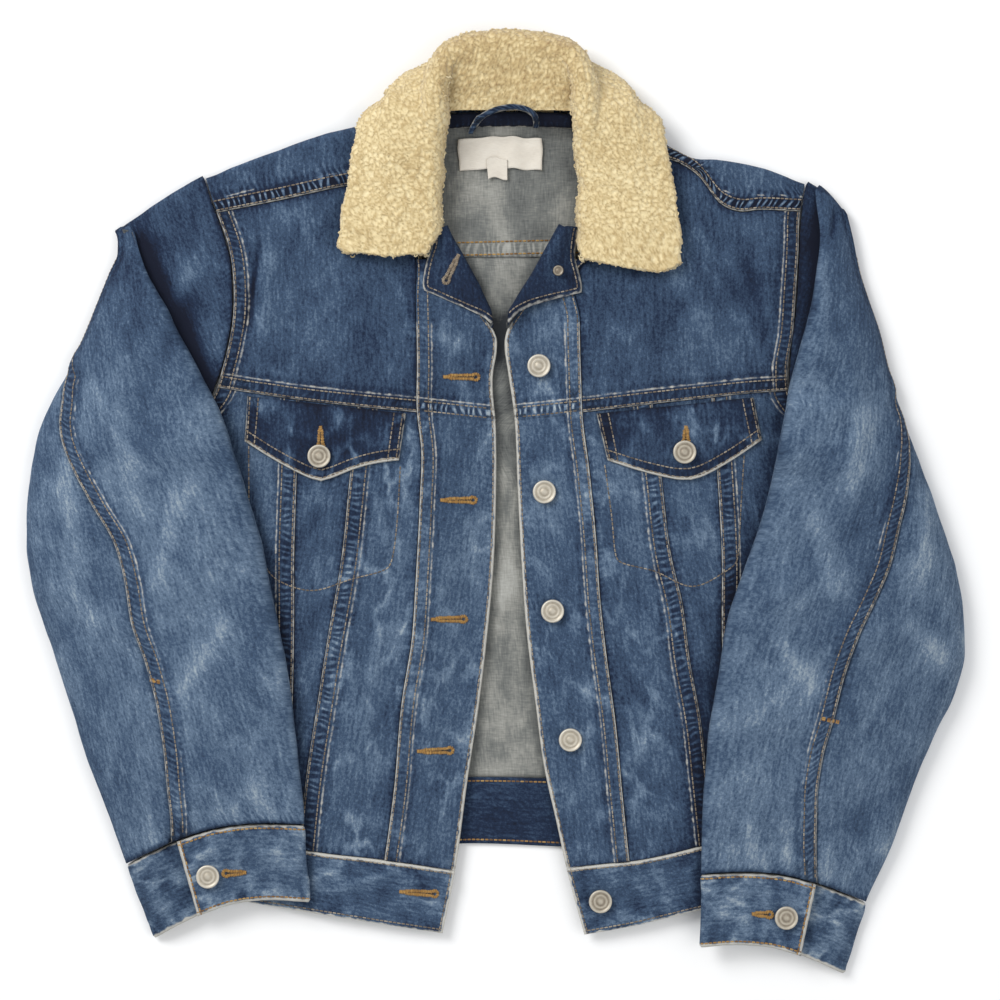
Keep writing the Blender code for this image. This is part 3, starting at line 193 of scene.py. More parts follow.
# small creases, worn pale along their tops; those of negative height are grooves, painted darker
# along them as shade
FOLDS = [
    (-76, -92, -52, -100, 4, 1.1), (-74, -108, -48, -106, 4, 1.0), (-70, -122, -40, -128, 4, 1.0),
    (-72, -134, -50, -150, 4, 0.9), (-60, 22, -30, 16, 5, 0.7), (-56, -60, -36, -66, 4, 0.9),
    (-90, 10, -78, -30, 4, 0.9), (-84, -92, -90, -130, 4, 0.9), (-98, -150, -88, -200, 5, 0.9),
    (-170, 30, -160, -40, 5, 0.8), (-118, 40, -104, 20, 4, 0.8), (62, -40, 84, -52, 4, 0.9),
    (58, -96, 80, -104, 4, 0.9), (66, -140, 88, -150, 4, 1.0), (90, -196, 112, -176, 5, 0.9),
    (104, 48, 92, 24, 4, 0.9), (146, 50, 160, 24, 4, 0.8), (-60, 130, -20, 112, 6, 0.9),
    (30, 122, 60, 128, 5, 0.8), (96, -222, 128, -234, 5, 0.9), (-110, -228, -70, -240, 5, 0.9),
    (-236, -196, -228, -232, 5, 1.2), (-206, -206, -196, -234, 5, 1.1),
    (-176, -204, -170, -232, 5, 1.0), (-256, -214, -250, -250, 5, 1.1),
    (182, -232, 190, -266, 5, 1.1), (206, -232, 214, -268, 5, 1.2), (240, -246, 240, -276, 5, 1.1),
    (-272, 60, -258, -10, 7, 1.4), (-312, 40, -304, -60, 8, 1.3), (-226, 10, -246, -60, 8, 1.2),
    (-196, -90, -222, -130, 7, 1.2), (268, 70, 256, 0, 7, 1.4), (316, 10, 306, -60, 8, 1.3),
    (232, -10, 250, -70, 8, 1.2), (206, -100, 236, -140, 7, 1.2), (300, -90, 330, -120, 7, 1.2),
    (-320, -60, -290, -90, 7, 1.2), (-222, 176, -246, 120, 7, 1.3), (238, 180, 240, 110, 6, 1.2),
    (-173, 186, -181, 130, 2.2, -2.6), (-163, 186, -170, 128, 4, 1.2), (-66, 60, -64, 30, 2.5, -1.2),
    (180, 190, 196, 120, 5, -1.0), (112, 200, 160, 120, 9, 1.0), (-150, 52, -128, 46, 3, 1.0),
    (-128, 46, -112, 56, 3, 0.9), (-112, 40, -92, 50, 3, 1.0), (-96, 46, -80, 38, 3, 0.8),
    (132, 54, 150, 44, 3, 0.9), (150, 52, 178, 54, 3, 1.0), (-54, -98, -34, -112, 3, 0.9),
    (-64, -148, -44, -168, 4, 1.0), (64, -70, 76, -90, 3, 0.9), (60, 10, 84, 0, 4, 0.8),
    (-134, -276, -113, -269, 2.2, 1.2), (-108, -281, -81, -273, 2.2, 1.5),
    (-130, -285, -98, -280, 4, 0.9), (-76, -268, -60, -278, 2.5, 0.9),
    (-183, -264, -182, -298, 2.2, -1.3), (-217, -259, -205, -253, 2.2, 1.1),
    (-176, -258, -160, -254, 2.5, 0.9), (-245, -262, -228, -280, 3.5, 0.9),
    (168, -282, 190, -286, 2.4, 1.0), (160, -300, 186, -304, 3.0, 0.9),
    (228, -300, 236, -322, 3.0, 0.9), (92, -268, 108, -284, 2.6, 0.9),
    (112, -262, 124, -284, 2.6, 0.9), (64, -276, 70, -300, 2.6, -0.8),
    (-220, -222, -216, -240, 2.5, 1.3), (-190, -220, -186, -236, 2.5, 1.3),
    (-164, -216, -160, -232, 2.5, 1.3), (-150, -210, -152, -228, 2.5, 1.1),
    (170, -250, 168, -268, 2.5, 1.2), (196, -252, 198, -274, 2.5, 1.2),
    (222, -258, 226, -282, 2.5, 1.2), (252, -262, 254, -286, 2.5, 1.2),
    (249, 212, 246, 194, 2.2, -1.5),
]

# ------------------------------------ sleeve sections from the crown to the cuff
# armhole x, y; valley of the pleat or underarm seam x, y; inner edge x, y; outer edge x, y;
# crest over the edges; elbow seam as a share of the way from the inner to the outer edge
SLEEVE = {
    R: [
        (-212, 236, -271, 199, -264, 197, -277, 196, 1, 1.22),
        (-199, 201, -268, 177, -256, 172, -276, 182, 4, 1.22),
        (-191, 160, -258, 149, -242, 144, -286, 156, 9, 1.22),
        (-194, 116, -246, 116, -224, 111, -301, 119, 14, 1.22),
        (-207, 76, -236, 78, -205, 76, -318, 84, 18, 0.89),
        (-237, 47, -237, 47, -191, 41, -334, 51, 21, 0.77),
        (-237, 47, -222, 2, -180, 3, -342, 3, 23, 0.64),
        (-237, 47, -208, -36, -169, -35, -342, -43, 24, 0.56),
        (-237, 47, -196, -75, -161, -75, -333, -81, 24, 0.57),
        (-237, 47, -186, -115, -153, -114, -320, -119, 22, 0.565),
        (-237, 47, -177, -155, -147, -154, -307, -161, 20, 0.565),
        (-237, 47, -169, -191, -143, -190, -293, -205, 17, 0.59),
        (-237, 47, -162, -221, -140, -220, -278, -243, 12, 0.63),
        (-237, 47, -158, -234, -139, -235, -270, -265, 8, 0.66),
    ],
    L: [
        (227, 232, 245, 220, 234, 227, 257.5, 209, 2, 1.22),
        (223, 201, 251, 196, 237, 197, 262, 191, 5, 1.22),
        (220, 158, 248, 168, 235, 171, 268, 161, 8, 1.22),
        (216, 114, 247, 131, 228, 134, 280, 127, 13, 1.22),
        (218, 73, 245, 81, 215, 83, 293, 77, 18, 1.08),
        (250, 49, 250, 49, 207, 45, 310, 30, 21, 0.825),
        (250, 49, 232, 0, 198, -1, 327, -19, 23, 0.667),
        (250, 49, 218, -42, 184, -43, 339, -57, 24, 0.597),
        (250, 49, 204, -77, 172, -76, 344, -101, 24, 0.532),
        (250, 49, 193, -117, 164, -116, 337, -139, 22, 0.509),
        (250, 49, 184, -156, 158, -154, 320, -173, 20, 0.519),
        (250, 49, 177, -194, 153, -192, 306, -209, 17, 0.523),
        (250, 49, 171, -241, 151, -240, 288, -256, 12, 0.566),
        (250, 49, 168, -270, 150, -271, 272, -293, 8, 0.628),
    ],
}
PIT_ROW = 5                # the section where the armhole closes
WRAP, SLOPE, PIT_LEVEL = 9.0, 14.0, 47.0   # folded edge's round; climb on to the body; its y
NARROW = 40.0              # sections under this width have an evener top
SLEEVE_BOW = {R: 12.0, L: 10.0}            # rise of the cuff's seam over its chord
EDGE_HEIGHT, VALLEY, HEAD_BULGE = 7.0, 6.0, 2.5
TUCK_ROOM, FOLD_ROUND, ARM_ROOM, PIT_ROOM = 2.4, 0.8, 1.0, 1.3
SEAM_END = 1.15            # the elbow seam stays on the outer edge's round
SLEEVE_SHADE = {R: (0.24, 5.0), L: (0.34, 9.0)}    # beside a sleeve: depth and reach
PLEAT_SHADE = {R: 6.5, L: 9.0}                     # reach of the shade in the pleat
# how far the top cloth runs out over the crown: at the pleat, at the outer edge, bulge between
CROWN_REACH = {R: (5.0, 2.4, 3.0), L: (1.5, 0.4, 5.0)}
HEAD_STATIONS = [0, 0.5, 1.0, 1.7, 2.4, 3.1, 3.6, 4.0, 4.4, 4.75]
SLEEVE_STATIONS = [5, 5.25, 5.6, 6.1, 6.8, 7.5, 8.2, 9.0, 9.8, 10.6, 11.4, 12.2, 13]

# cuffs: inner and outer edge x, y, at the sleeve and at the mouth
CUFF = {
    R: [((-139, -236.2), (-270, -266.2)), ((-135, -292), (-250, -320))],
    L: [((150, -272.2), (272, -294.2)), ((149, -325), (256, -346))],
}
CUFF_LAP = {R: 0.71, L: 0.69}              # the lap's edge, as a share from the inner edge

# ------------------------------------ collar sections from a front end to the back's middle
# distance from the collar's middle and y of: the neck seam, the roll's centre (with z),
# a point on the fall (with z) and the fall's edge (with z); direction of the fall in plan
# and of the stand's face in the section, in degrees
COLLAR = [
    (62, 179, 60, 184, 14.5, 88, 181, 27.0, 127, 181, 24.0, 90, 270),
    (76, 200, 60.5, 207, 14.5, 88, 206, 28.0, 122, 208, 25.0, 90, 270),
    (86, 228, 60.5, 235, 15.5, 88, 233, 28.5, 118, 232, 25.0, 90, 270),
    (84, 250, 58, 260, 20.5, 88, 258, 30.5, 114, 256, 25.0, 86, 256),
    (77, 264, 56, 284, 26.0, 88, 288, 29.5, 108, 282, 20.0, 74, 212),
    (65, 280, 52, 307, 27.0, 84, 307, 16.0, 86, 290, 1.0, 50, 158),
    (43, 284.6, 39, 326, 22.5, 56, 317, 3.0, 50, 287, 0.6, 22, 116),
    (0, 284.8, 0, 333, 20.0, 0, 314, 1.0, 0, 281, 0.4, 0, 96),
]

# the collar's front ends: how far one is moved up at its inner corner, more of it to the outer
# corner, more of it at the corner itself; that corner's shift in x and its reach up the edge;
# the inner edge's least distance from the middle, and its lean
COLLAR_END = {R: (-4.0, 4.5, 0.0, -9.0, 10.0, 51.0, 0.63),
              L: (-8.5, -6.5, 12.0, 3.0, 20.0, 44.0, 0.43)}
PILE_FLOOR = 0.3           # the pile's least height over the floor

# ------------------------------------ what lies on the panels
FLAP = {      # the top edge's two ends, then the lower corners and the tip
    R: [(-181, 77), (-65, 64), (-183, 44), (-127, 13), (-70, 30)],
    L: [(74, 64), (189, 76), (82, 30), (143, 14), (195, 45)],
}
# how pale the abrasion's veins are
WEAR = {"pocket_flap": 0.46, "front_placket": 0.20, "front_centre_panel": 0.26,
        "front_yoke": 0.10, "hem_band_front": 0.16}
# the warp's lean: y and x of one warp thread
WARP = {
    R: [(-320, -47), (-120, -22), (60, 0), (240, 0)], L: [(-320, 47), (-120, 22), (60, 0), (240, 0)],
}
SLEEVE_WARP = {
    R: [(-260, -224), (-130, -244), (102, -314), (240, -356)],
    L: [(-280, 228), (-159, 241), (56, 299), (240, 350)],
}
FLAP_BEND = {R: (-1.8, 3.4), L: (-1.6, -2.0)}   # how far the low line's halves bow up
LAPEL = {     # from the break up: roll line x, y, lapel edge x, y, share of the full roll
    R: [(-1.5, 127, -3.5, 130, 0.2), (-3, 131, -8, 134, 0.4), (-5, 137, -18, 139, 0.7),
        (-8, 143, -31, 145, 0.9), (-11, 148.5, -45.5, 151.6, 1), (-12.5, 151.5, -51.6, 154.4, 1),
        (-14, 155, -52.6, 158, 1), (-20, 166, -51.5, 168, 1), (-27, 179, -49, 179, 1),
        (-33, 189, -46, 190, 1), (-38, 200, -47, 201, 1)],
    L: [(9, 127, 11, 131.5, 0.2), (10.5, 132, 16, 137, 0.4), (12, 137, 25, 142, 0.7),
        (16, 143, 38, 146, 0.9), (20, 149, 56, 150.3, 1), (22.3, 152.5, 63.3, 152.6, 1),
        (24.5, 156, 63.6, 156.5, 1), (31, 166, 61.5, 168, 1), (37.5, 178, 59, 179, 1),
        (44, 189, 60, 190, 1), (50, 200, 62, 200, 1)],
}
LAPEL_LIFT, LEAST_LIFT = {R: 7.0, L: 15.0}, 4.6
POCKET_BAG = {     # the stitched outline of the pocket bags
    R: [(-180, 41), (-180, 1), (-170, -43), (-161, -56), (-134, -65), (-106, -57), (-77, -47),
        (-72, -21), (-69, 26)],
    L: [(80, 27), (85, -10), (89, -42), (117, -51), (144, -62), (167, -52), (177, -43),
        (180, 1), (182, 34)],
}
# buttonholes: x, y of the end at the eye, direction in degrees, length
FRONT_HOLES = [(-12, 91, 180, 26), (-14, 1, 180, 26), (-21, -86, 180, 26), (-31, -182, 181, 26)]
HEM_HOLE = (-42, -287, 176, 28)
LAPEL_HOLE = (-36.5, 159.5, 64, 23)
FLAP_HOLE = {R: (-127, 38, 90, 17), L: (139, 41, 90, 14)}
CUFF_HOLE = {R: (-198, -271, 2, 17), L: (202, -301, 178, 15)}
# bar tacks on the elbow seams: x, y of both ends
BARTACK = {L: ((236, -157), (250, -160)), R: ((-250, -129), (-242, -131))}
LABEL, SIZE_TAB = ((-27, 263), (34, 240)), ((-6, 249), (9, 234))
BUTTONS = {
    "front_button_1": (32, 99), "front_button_2": (36, 7), "front_button_3": (42, -80),
    "front_button_4": (55, -174), "hem_button": (77, -292), "neck_button": (46, 168),
    "flap_button_right": (-128, 33), "flap_button_left": (138, 36),
    "cuff_button_right": (-209, -273), "cuff_button_left": (212, -303),
    "neck_button_stud": (46, 168),
}


# ================================================================ curves and heights
def through(table: Sequence, at: Array) -> Array:
    """Smooth curve through a table: cubic Hermite pieces whose slopes are the table's own.

    Args:
        table: rows whose first number is the parameter and whose others are the values.
        at: parameters of any shape; they are held inside the table.

    Returns:
        The values, with one more axis than at.
    """
    rows = np.asarray(sorted(table), dtype=float)
    knots, values = rows[:, 0], rows[:, 1:]
    slopes = np.gradient(values, knots, axis=0)
    at = np.clip(np.asarray(at, dtype=float), knots[0], knots[-1])
    low = np.clip(np.searchsorted(knots, at) - 1, 0, len(knots) - 2)
    return hermite(knots, values, slopes, low, at)


def hermite(knots: Array, values: Array, slopes: Array, low: Array, at: Array) -> Array:
    """Cubic with given values and slopes at both ends of each span.

    Args:
        knots: parameters of the rows.
        values: the rows' values, one row a knot.
        slopes: the rows' slopes.
        low: index of the knot below each parameter.
        at: the parameters.

    Returns:
        The values at the parameters.
    """
    span = knots[low + 1] - knots[low]
    t = ((at - knots[low]) / span).reshape(at.shape + (1,) * (values.ndim - 1))
    span = span.reshape(t.shape)
    return ((2 * t**3 - 3 * t**2 + 1) * values[low] + (t**3 - 2 * t**2 + t) * span * slopes[low]
            + (3 * t**2 - 2 * t**3) * values[low + 1] + (t**3 - t**2) * span * slopes[low + 1])


def keep_shape(knots: Array, values: Array, at: Array) -> Array:
    """Cubic along the first axis that never leaves the range of its two nearest rows.

    The slope at a row is the weighted harmonic mean of its two spans' slopes, or 0 at a peak.

    Args:
        knots: rising parameters, one a row.
        values: array whose first axis runs over the rows.
        at: parameters to find.

    Returns:
        The rows at the parameters.
    """
    span = np.diff(knots).reshape((-1,) + (1,) * (values.ndim - 1))
    rate = np.diff(values, axis=0) / span
    first, second = 2 * span[1:] + span[:-1], span[1:] + 2 * span[:-1]
    same = rate[:-1] * rate[1:] > 0
    safe_low = np.where(same, rate[:-1], 1.0)
    safe_high = np.where(same, rate[1:], 1.0)
    inner = np.where(same, (first + second) / (first / safe_low + second / safe_high), 0.0)
    slopes = np.concatenate([rate[:1], inner, rate[-1:]])
    low = np.clip(np.searchsorted(knots, at, side="right") - 1, 0, len(knots) - 2)
    return hermite(knots, values, slopes, low, np.asarray(at, float))


def numbered(table: Sequence) -> list[tuple]:
    """A table's rows with their numbers in front."""
    return [(number, *values) for number, values in enumerate(table)]


def seam(table: Sequence) -> Curve:
    """A seam as a function: x of y, or y of x."""
    return lambda at: through(table, at)[..., 0]


def shifted(curve: Curve, by: float) -> Curve:
    """The same seam moved by a distance."""
    return lambda at: curve(at) + by


def level(value: float) -> Curve:
    """A straight seam at one x or y."""
    return lambda at: np.full(np.shape(at), float(value))


def step(value: Array) -> Array:
    """Smooth step from 0 to 1 over the values 0 to 1."""
    t = np.clip(value, 0.0, 1.0)
    return t * t * (3 - 2 * t)


def even(count: int) -> Array:
    """Even stations from 0 to 1."""
    return np.linspace(0, 1, count + 1)


@dataclass(frozen=True)
class Stations:
    """Rising places across a panel, each a share of its width plus a fixed distance in mm."""

    share: Array
    offset: Array

    def over(self, length: Array) -> Array:
        """The places over a length."""
        return self.share * length + self.offset

    def column(self) -> "Stations":
        """The same stations down a column."""
        return Stations(self.share[:, None], self.offset[:, None])


def spread(length: float, spacing: float, low: Sequence[float] = (0.5, 1.1),
           high: Sequence[float] = (0.5, 1.1)) -> Stations:
    """Even stations over a length, with some at fixed distances from both ends.

    Args:
        length: about the length in mm.
        spacing: distance between stations in mm.
        low: rising distances from the start that get a station of their own.
        high: rising distances from the end that get a station of their own.

    Returns:
        The stations.
    """
    first, last = (low[-1] if low else 0.0), (high[-1] if high else 0.0)
    inner = even(max(int(round((length - first - last) / spacing)), 2))
    start, stop = np.array([0.0, *low])[:-1], np.array([0.0, *high])[:-1][::-1]
    return Stations(np.concatenate([0 * start, inner, 1 + 0 * stop]),
                    np.concatenate([start, first - (first + last) * inner, -stop]))


def strip_stations(lap: float, spacing: float) -> tuple[float, ...]:
    """Distances from a lapped border that draw its strip's two edges crisply."""
    inner = np.linspace(1.1, lap - 0.7, max(int(round((lap - 1.8) / spacing)), 1) + 1)
    return (0.5, *inner, lap, lap + 0.7, lap + 1.6)


def waves(x: Array, y: Array, length: float, seed: int, stretch: float = 1.0,
          count: int = 9) -> Array:
    """Seamless ruffle, about -1 to 1: sines of random direction and phase, added up.

    Args:
        x: first coordinate in mm.
        y: second coordinate in mm.
        length: mean wavelength in mm.
        seed: seed of the directions and phases.
        stretch: how much longer the waves are along y.
        count: number of sines.

    Returns:
        The ruffle at each point.
    """
    rng = np.random.default_rng(seed)
    turn, phase = rng.uniform(0, 2 * math.pi, (2, count))
    rate = 2 * math.pi / (length * rng.uniform(0.65, 1.6, count))
    total = np.zeros(np.broadcast(x, y).shape)
    for number in range(count):
        total += np.sin((x * math.cos(turn[number]) + y * math.sin(turn[number]) / stretch)
                        * rate[number] + phase[number])
    return total * math.sqrt(2 / count) * 0.6


def lattice_random(cell: Array, seed: float) -> Array:
    """Random number from 0 to 1 for each cell of a lattice: the fraction of a large sine."""
    value = np.sin(cell @ np.array([127.1, 311.7, 74.7]) + seed * 53.3) * 43758.5453
    return value - np.floor(value)


def curls(x: Array, y: Array, z: Array, size: float, seed: float) -> tuple[Array, Array]:
    """Cells around the points of a shaken lattice in space.

    Args:
        x: first coordinate in mm.
        y: second coordinate in mm.
        z: third coordinate in mm.
        size: the lattice's size in mm.
        seed: seed of the shaking.

    Returns:
        How much nearer the nearest point is than the second one, over the size, which is 0 on
        the cells' borders, and the nearest point's own random number.
    """
    place = np.stack([x, y, z], axis=-1) / size
    cell = np.floor(place)
    best, second, own = np.full(np.shape(x), 9.0), np.full(np.shape(x), 9.0), np.zeros(np.shape(x))
    for corner in np.ndindex(3, 3, 3):
        at = cell + np.array(corner) - 1
        shaken = [at[..., axis] + lattice_random(at, seed + axis) for axis in range(3)]
        away = np.linalg.norm(place - np.stack(shaken, axis=-1), axis=-1)
        own = np.where(away < best, lattice_random(at, seed + 3), own)
        second = np.minimum(second, np.maximum(away, best))
        best = np.minimum(best, away)
    return second - best, own


def ridges(x: Array, y: Array, table: Sequence) -> Array:
    """Sum of creases: round ridges along straight lines that fade towards their ends."""
    total = np.zeros(np.shape(x))
    for x0, y0, x1, y1, half, height in table:
        run = math.hypot(x1 - x0, y1 - y0)
        ux, uy = (x1 - x0) / run, (y1 - y0) / run
        along = ((x - x0) * ux + (y - y0) * uy) / run
        across = (x - x0) * uy - (y - y0) * ux
        fade = step((along + 0.25) / 0.4) * step((1.25 - along) / 0.4)
        total += height * fade * np.exp(-(across / half) ** 2)
    return total


def front_under(x: Array, y: Array) -> Array:
    """Height of the front's under side: the loft table across each front's width, and creases."""
    x, y = np.broadcast_arrays(np.asarray(x, float), np.asarray(y, float))
    heights = through(LOFT, y)
    share = np.zeros(x.shape)
    for side in Side:
        outer = seam(OUTER[side])(y)
        inner = np.where(y < 192, seam(EDGE[side])(y), seam(PLACKET[side])(y))
        here = (x > 8.0) == (side is L)
        share = np.where(here, (x - outer) / (inner - outer), share)
    place = np.clip(share, 0.0, 1.0) * 4
    low = np.clip(np.floor(place).astype(int), 0, 3)
    t = 0.5 * (step(place - low) + place - low)
    a = np.take_along_axis(heights, low[..., None], axis=-1)[..., 0]
    b = np.take_along_axis(heights, (low + 1)[..., None], axis=-1)[..., 0]
    fade = step(place / 0.6) * step((4 - place) / 0.6)
    return a * (1 - t) + b * t + ridges(x, y, CREASES) * fade


def neck_lift(x: Array, y: Array) -> Array:
    """How far the back is lifted off the floor by the collar's fall under it."""
    across = step((LIFT_HALF - np.abs(x - COLLAR_MIDDLE)) / 24)
    return NECK_LIFT * across * step((y - LIFT_START) / 18)


def sleeve_floor(side: Side, x: Array, y: Array) -> Array:
    """Height that the sleeve's under side rests at: the floor, or the body it lies on."""
    out = (seam(OUTER[side])(y) - x) * side.inward
    beside = step(1 - (out - 1.5) / SLOPE) * step(1 - (y - PIT_LEVEL) / 8)
    return np.where(out <= 0, 1.0, beside) * (front_under(x, y) + BAND + SLEEVE_LIE)


def between(low_x: Curve, high_x: Curve, low_y: Curve, high_y: Curve,
            across: Stations, up: Stations) -> tuple[Array, Array]:
    """Plan points of a panel between two seams x(y) and two seams y(x).

    The point at a station across and up is found by repeated substitution of the seams.
    """
    rows = up.column()
    x = np.zeros((len(up.share), len(across.share)))
    y = 0.5 * (low_y(x) + high_y(x)) + x
    for _ in range(14):
        left = low_x(y) + GAP / 2
        x = left + across.over(high_x(y) - GAP / 2 - left)
        lower = low_y(x) + GAP / 2
        y = lower + rows.over(high_y(x) - GAP / 2 - lower)
    return x, y


def on_front(x: Array, y: Array, lift: float) -> Array:
    """Points of an outer face that lies lift above the front's under side."""
    return np.stack([x, y, front_under(x, y) + lift], axis=-1)


def along(points: Array, axis: int) -> Array:
    """Length run along the grid lines of one axis, from its start to each point."""
    steps = np.linalg.norm(np.diff(points, axis=axis), axis=-1)
    start = np.zeros_like(np.take(steps, [0], axis=axis))
    return np.concatenate([start, np.cumsum(steps, axis=axis)], axis=axis)


def denser(points: Array, spacing: float, rows: bool = True, columns: bool = True) -> Array:
    """The same surface on a grid with about even spacing, by cubics that keep its shape."""
    for axis, wanted in ((0, rows), (1, columns)):
        if wanted:
            knots = np.mean(along(points, axis), axis=1 - axis)
            count = max(int(round(knots[-1] / spacing)), len(knots) - 1)
            at = np.linspace(0, knots[-1], count + 1)
            moved = keep_shape(knots, np.moveaxis(points, axis, 0), at)
            points = np.moveaxis(moved, 0, axis)
    return points


def unit(vectors: Array) -> Array:
    """Vectors made 1 long."""
    return vectors / np.maximum(np.linalg.norm(vectors, axis=-1, keepdims=True), 1e-9)


def normals_of(points: Array) -> Array:
    """Unit normals of a grid: the cross product of its two centred differences."""
    return unit(np.cross(np.gradient(points, axis=1), np.gradient(points, axis=0)))


def area_of(points: Array, mask: Optional[Array] = None) -> float:
    """Area in square metres of a grid's faces: half the cross product of their diagonals."""
    cross = np.cross(points[1:, 1:] - points[:-1, :-1], points[1:, :-1] - points[:-1, 1:])
    area = 0.5 * np.linalg.norm(cross, axis=-1)
    return float(np.sum(area if mask is None else area * mask)) * MM * MM


def quads(rows: int, columns: int, closed: bool = False) -> Array:
    """Corner numbers [row, column, corner] of a grid's faces; closed joins its two sides."""
    index = np.arange(rows * columns).reshape(rows, columns)
    ahead = np.roll(index, -1, axis=1)
    faces = np.stack([index[:-1], ahead[:-1], ahead[1:], index[1:]], axis=-1)
    return faces if closed else faces[:, :-1]


# ================================================================ finishes
class Weave:
    """One material's node tree, built node by node."""

    def __init__(self, name: str) -> None:
        """Start a Principled material of that name."""
        self.material = bpy.data.materials.new(name)
        self.material.use_nodes = True
        self.tree = self.material.node_tree
        self.shader = self.tree.nodes["Principled BSDF"]

    def put(self, node: bpy.types.Node, key: "str | int", value: object) -> None:
        """Link a socket to an input, or set the input's own value."""
        if isinstance(value, Socket):
            self.tree.links.new(value, node.inputs[key])
        else:
            node.inputs[key].default_value = value

    def node(self, kind: str, inputs: dict, **settings: str) -> bpy.types.Node:
        """A new node with its settings, and its inputs linked or set."""
        node = self.tree.nodes.new(f"ShaderNode{kind}")
        for key, value in settings.items():
            setattr(node, key, value)
        for key, value in inputs.items():
            self.put(node, key, value)
        return node

    def attribute(self, name: str, output: str = "Fac") -> Socket:
        """A mesh attribute's number, or its Vector."""
        return self.node("Attribute", {}, attribute_name=name).outputs[output]

    def mapped(self, vector: Socket, scale: Sequence[float], turn: float = 0.0) -> Socket:
        """A vector turned, then scaled."""
        return self.node("Mapping", {"Vector": vector, "Rotation": (0.0, 0.0, turn),
                                     "Scale": scale}).outputs["Vector"]

    def grain(self, across: float, up: float, turn: float = 0.0) -> Socket:
        """The piece's UV map in metres, scaled and turned about its origin."""
        grain = self.node("UVMap", {}, uv_map="Grain").outputs["UV"]
        return self.mapped(grain, (across, up, 1.0), turn)

    def place(self, scale: float) -> Socket:
        """The piece's own coordinates in metres, scaled."""
        return self.mapped(self.node("TexCoord", {}).outputs["Object"], (scale, scale, scale))

    def noise(self, vector: Socket, detail: float = 2.0, rough: float = 0.5,
              bend: float = 0.0) -> Socket:
        """Fractal noise, 0 to 1, on a vector that already has its scale."""
        return self.node("TexNoise", {"Vector": vector, "Scale": 1.0, "Detail": detail,
                                      "Roughness": rough, "Distortion": bend}).outputs["Fac"]

    def cracks(self, vector: Socket, bend: float) -> Socket:
        """Distance to a branching net of creases, bent by a noise."""
        noise = self.node("TexNoise", {"Vector": vector, "Scale": 2.4}).outputs["Color"]
        moved = self.node("VectorMath", {0: noise, 1: (bend, bend, bend), 2: vector},
                          operation="MULTIPLY_ADD")
        return self.node("TexVoronoi", {"Vector": moved.outputs[0], "Scale": 1.0},
                         feature="DISTANCE_TO_EDGE").outputs["Distance"]

    def bars(self) -> tuple[Socket, Socket]:
        """Bars across a roped seam, a sine that drifts along it, and the seam's strength."""
        rope = self.attribute("rope", "Vector")
        along_it, _, strength = self.node("SeparateXYZ", {0: rope}).outputs
        drift = self.noise(self.mapped(rope, (0.07, 0.05, 0.0)), 1.0)
        phase = self.sum(self.times(along_it, 1.32), self.times(drift, 16.0))
        return self.span(self.math("SINE", phase), -0.55, 1.0), strength

    def twill(self, scale: float, turn: float) -> Socket:
        """Even diagonal ribs, 0 to 1."""
        vector = self.grain(scale, scale, turn)
        return self.node("TexWave", {"Vector": vector, "Scale": 1.0, "Distortion": 0.6},
                         bands_direction="X").outputs["Fac"]

    def math(self, way: str, first: object, second: object = 0.0) -> Socket:
        """One Math node."""
        return self.node("Math", {0: first, 1: second}, operation=way).outputs[0]

    def sum(self, *values: object) -> Socket:
        """All values added up."""
        return reduce(lambda total, value: self.math("ADD", total, value), values)

    def times(self, *values: object) -> Socket:
        """All values multiplied."""
        return reduce(lambda total, value: self.math("MULTIPLY", total, value), values)

    def swing(self, value: Socket, by: object) -> Socket:
        """A 0 to 1 value centred on 0 and multiplied."""
        return self.times(self.math("SUBTRACT", value, 0.5), by)

    def ramp(self, value: Socket, stops: Sequence[tuple]) -> Socket:
        """Colours along a value."""
        node = self.node("ValToRGB", {"Fac": value})
        elements = node.color_ramp.elements
        while len(elements) < len(stops):
            elements.new(0.5)
        for element, (place, colour) in zip(elements, stops):
            element.position = place
            element.color = (*colour, 1.0)
        return node.outputs["Color"]

    def span(self, value: Socket, low: float, high: float, first: float = 0.0,
             last: float = 1.0) -> Socket:
        """A value's range from low to high, smoothly made first to last."""
        return self.node("MapRange", {"Value": value, "From Min": low, "From Max": high,
                                      "To Min": first, "To Max": last},
                         interpolation_type="SMOOTHSTEP").outputs["Result"]

    def blend(self, share: object, first: object, second: object) -> Socket:
        """Two colours mixed by a share."""
        return self.node("Mix", {0: share, 6: first, 7: second}, data_type="RGBA").outputs[2]

    def relief(self, height: Socket, depth: float) -> None:
        """Bump the shader's normal by a height of 0 to 1 times a depth in metres."""
        bump = self.node("Bump", {"Height": height, "Distance": depth, "Strength": 1.0})
        self.put(self.shader, "Normal", bump.outputs["Normal"])

    def surface(self, colour: object, **plain: float) -> bpy.types.Material:
        """Finish the material: its colour, and the shader's plain numbers with _ for a space."""
        self.put(self.shader, "Base Color", (*colour, 1.0) if isinstance(colour, tuple) else colour)
        for key, value in plain.items():
            self.put(self.shader, key.replace("_", " "), value)
        return self.material


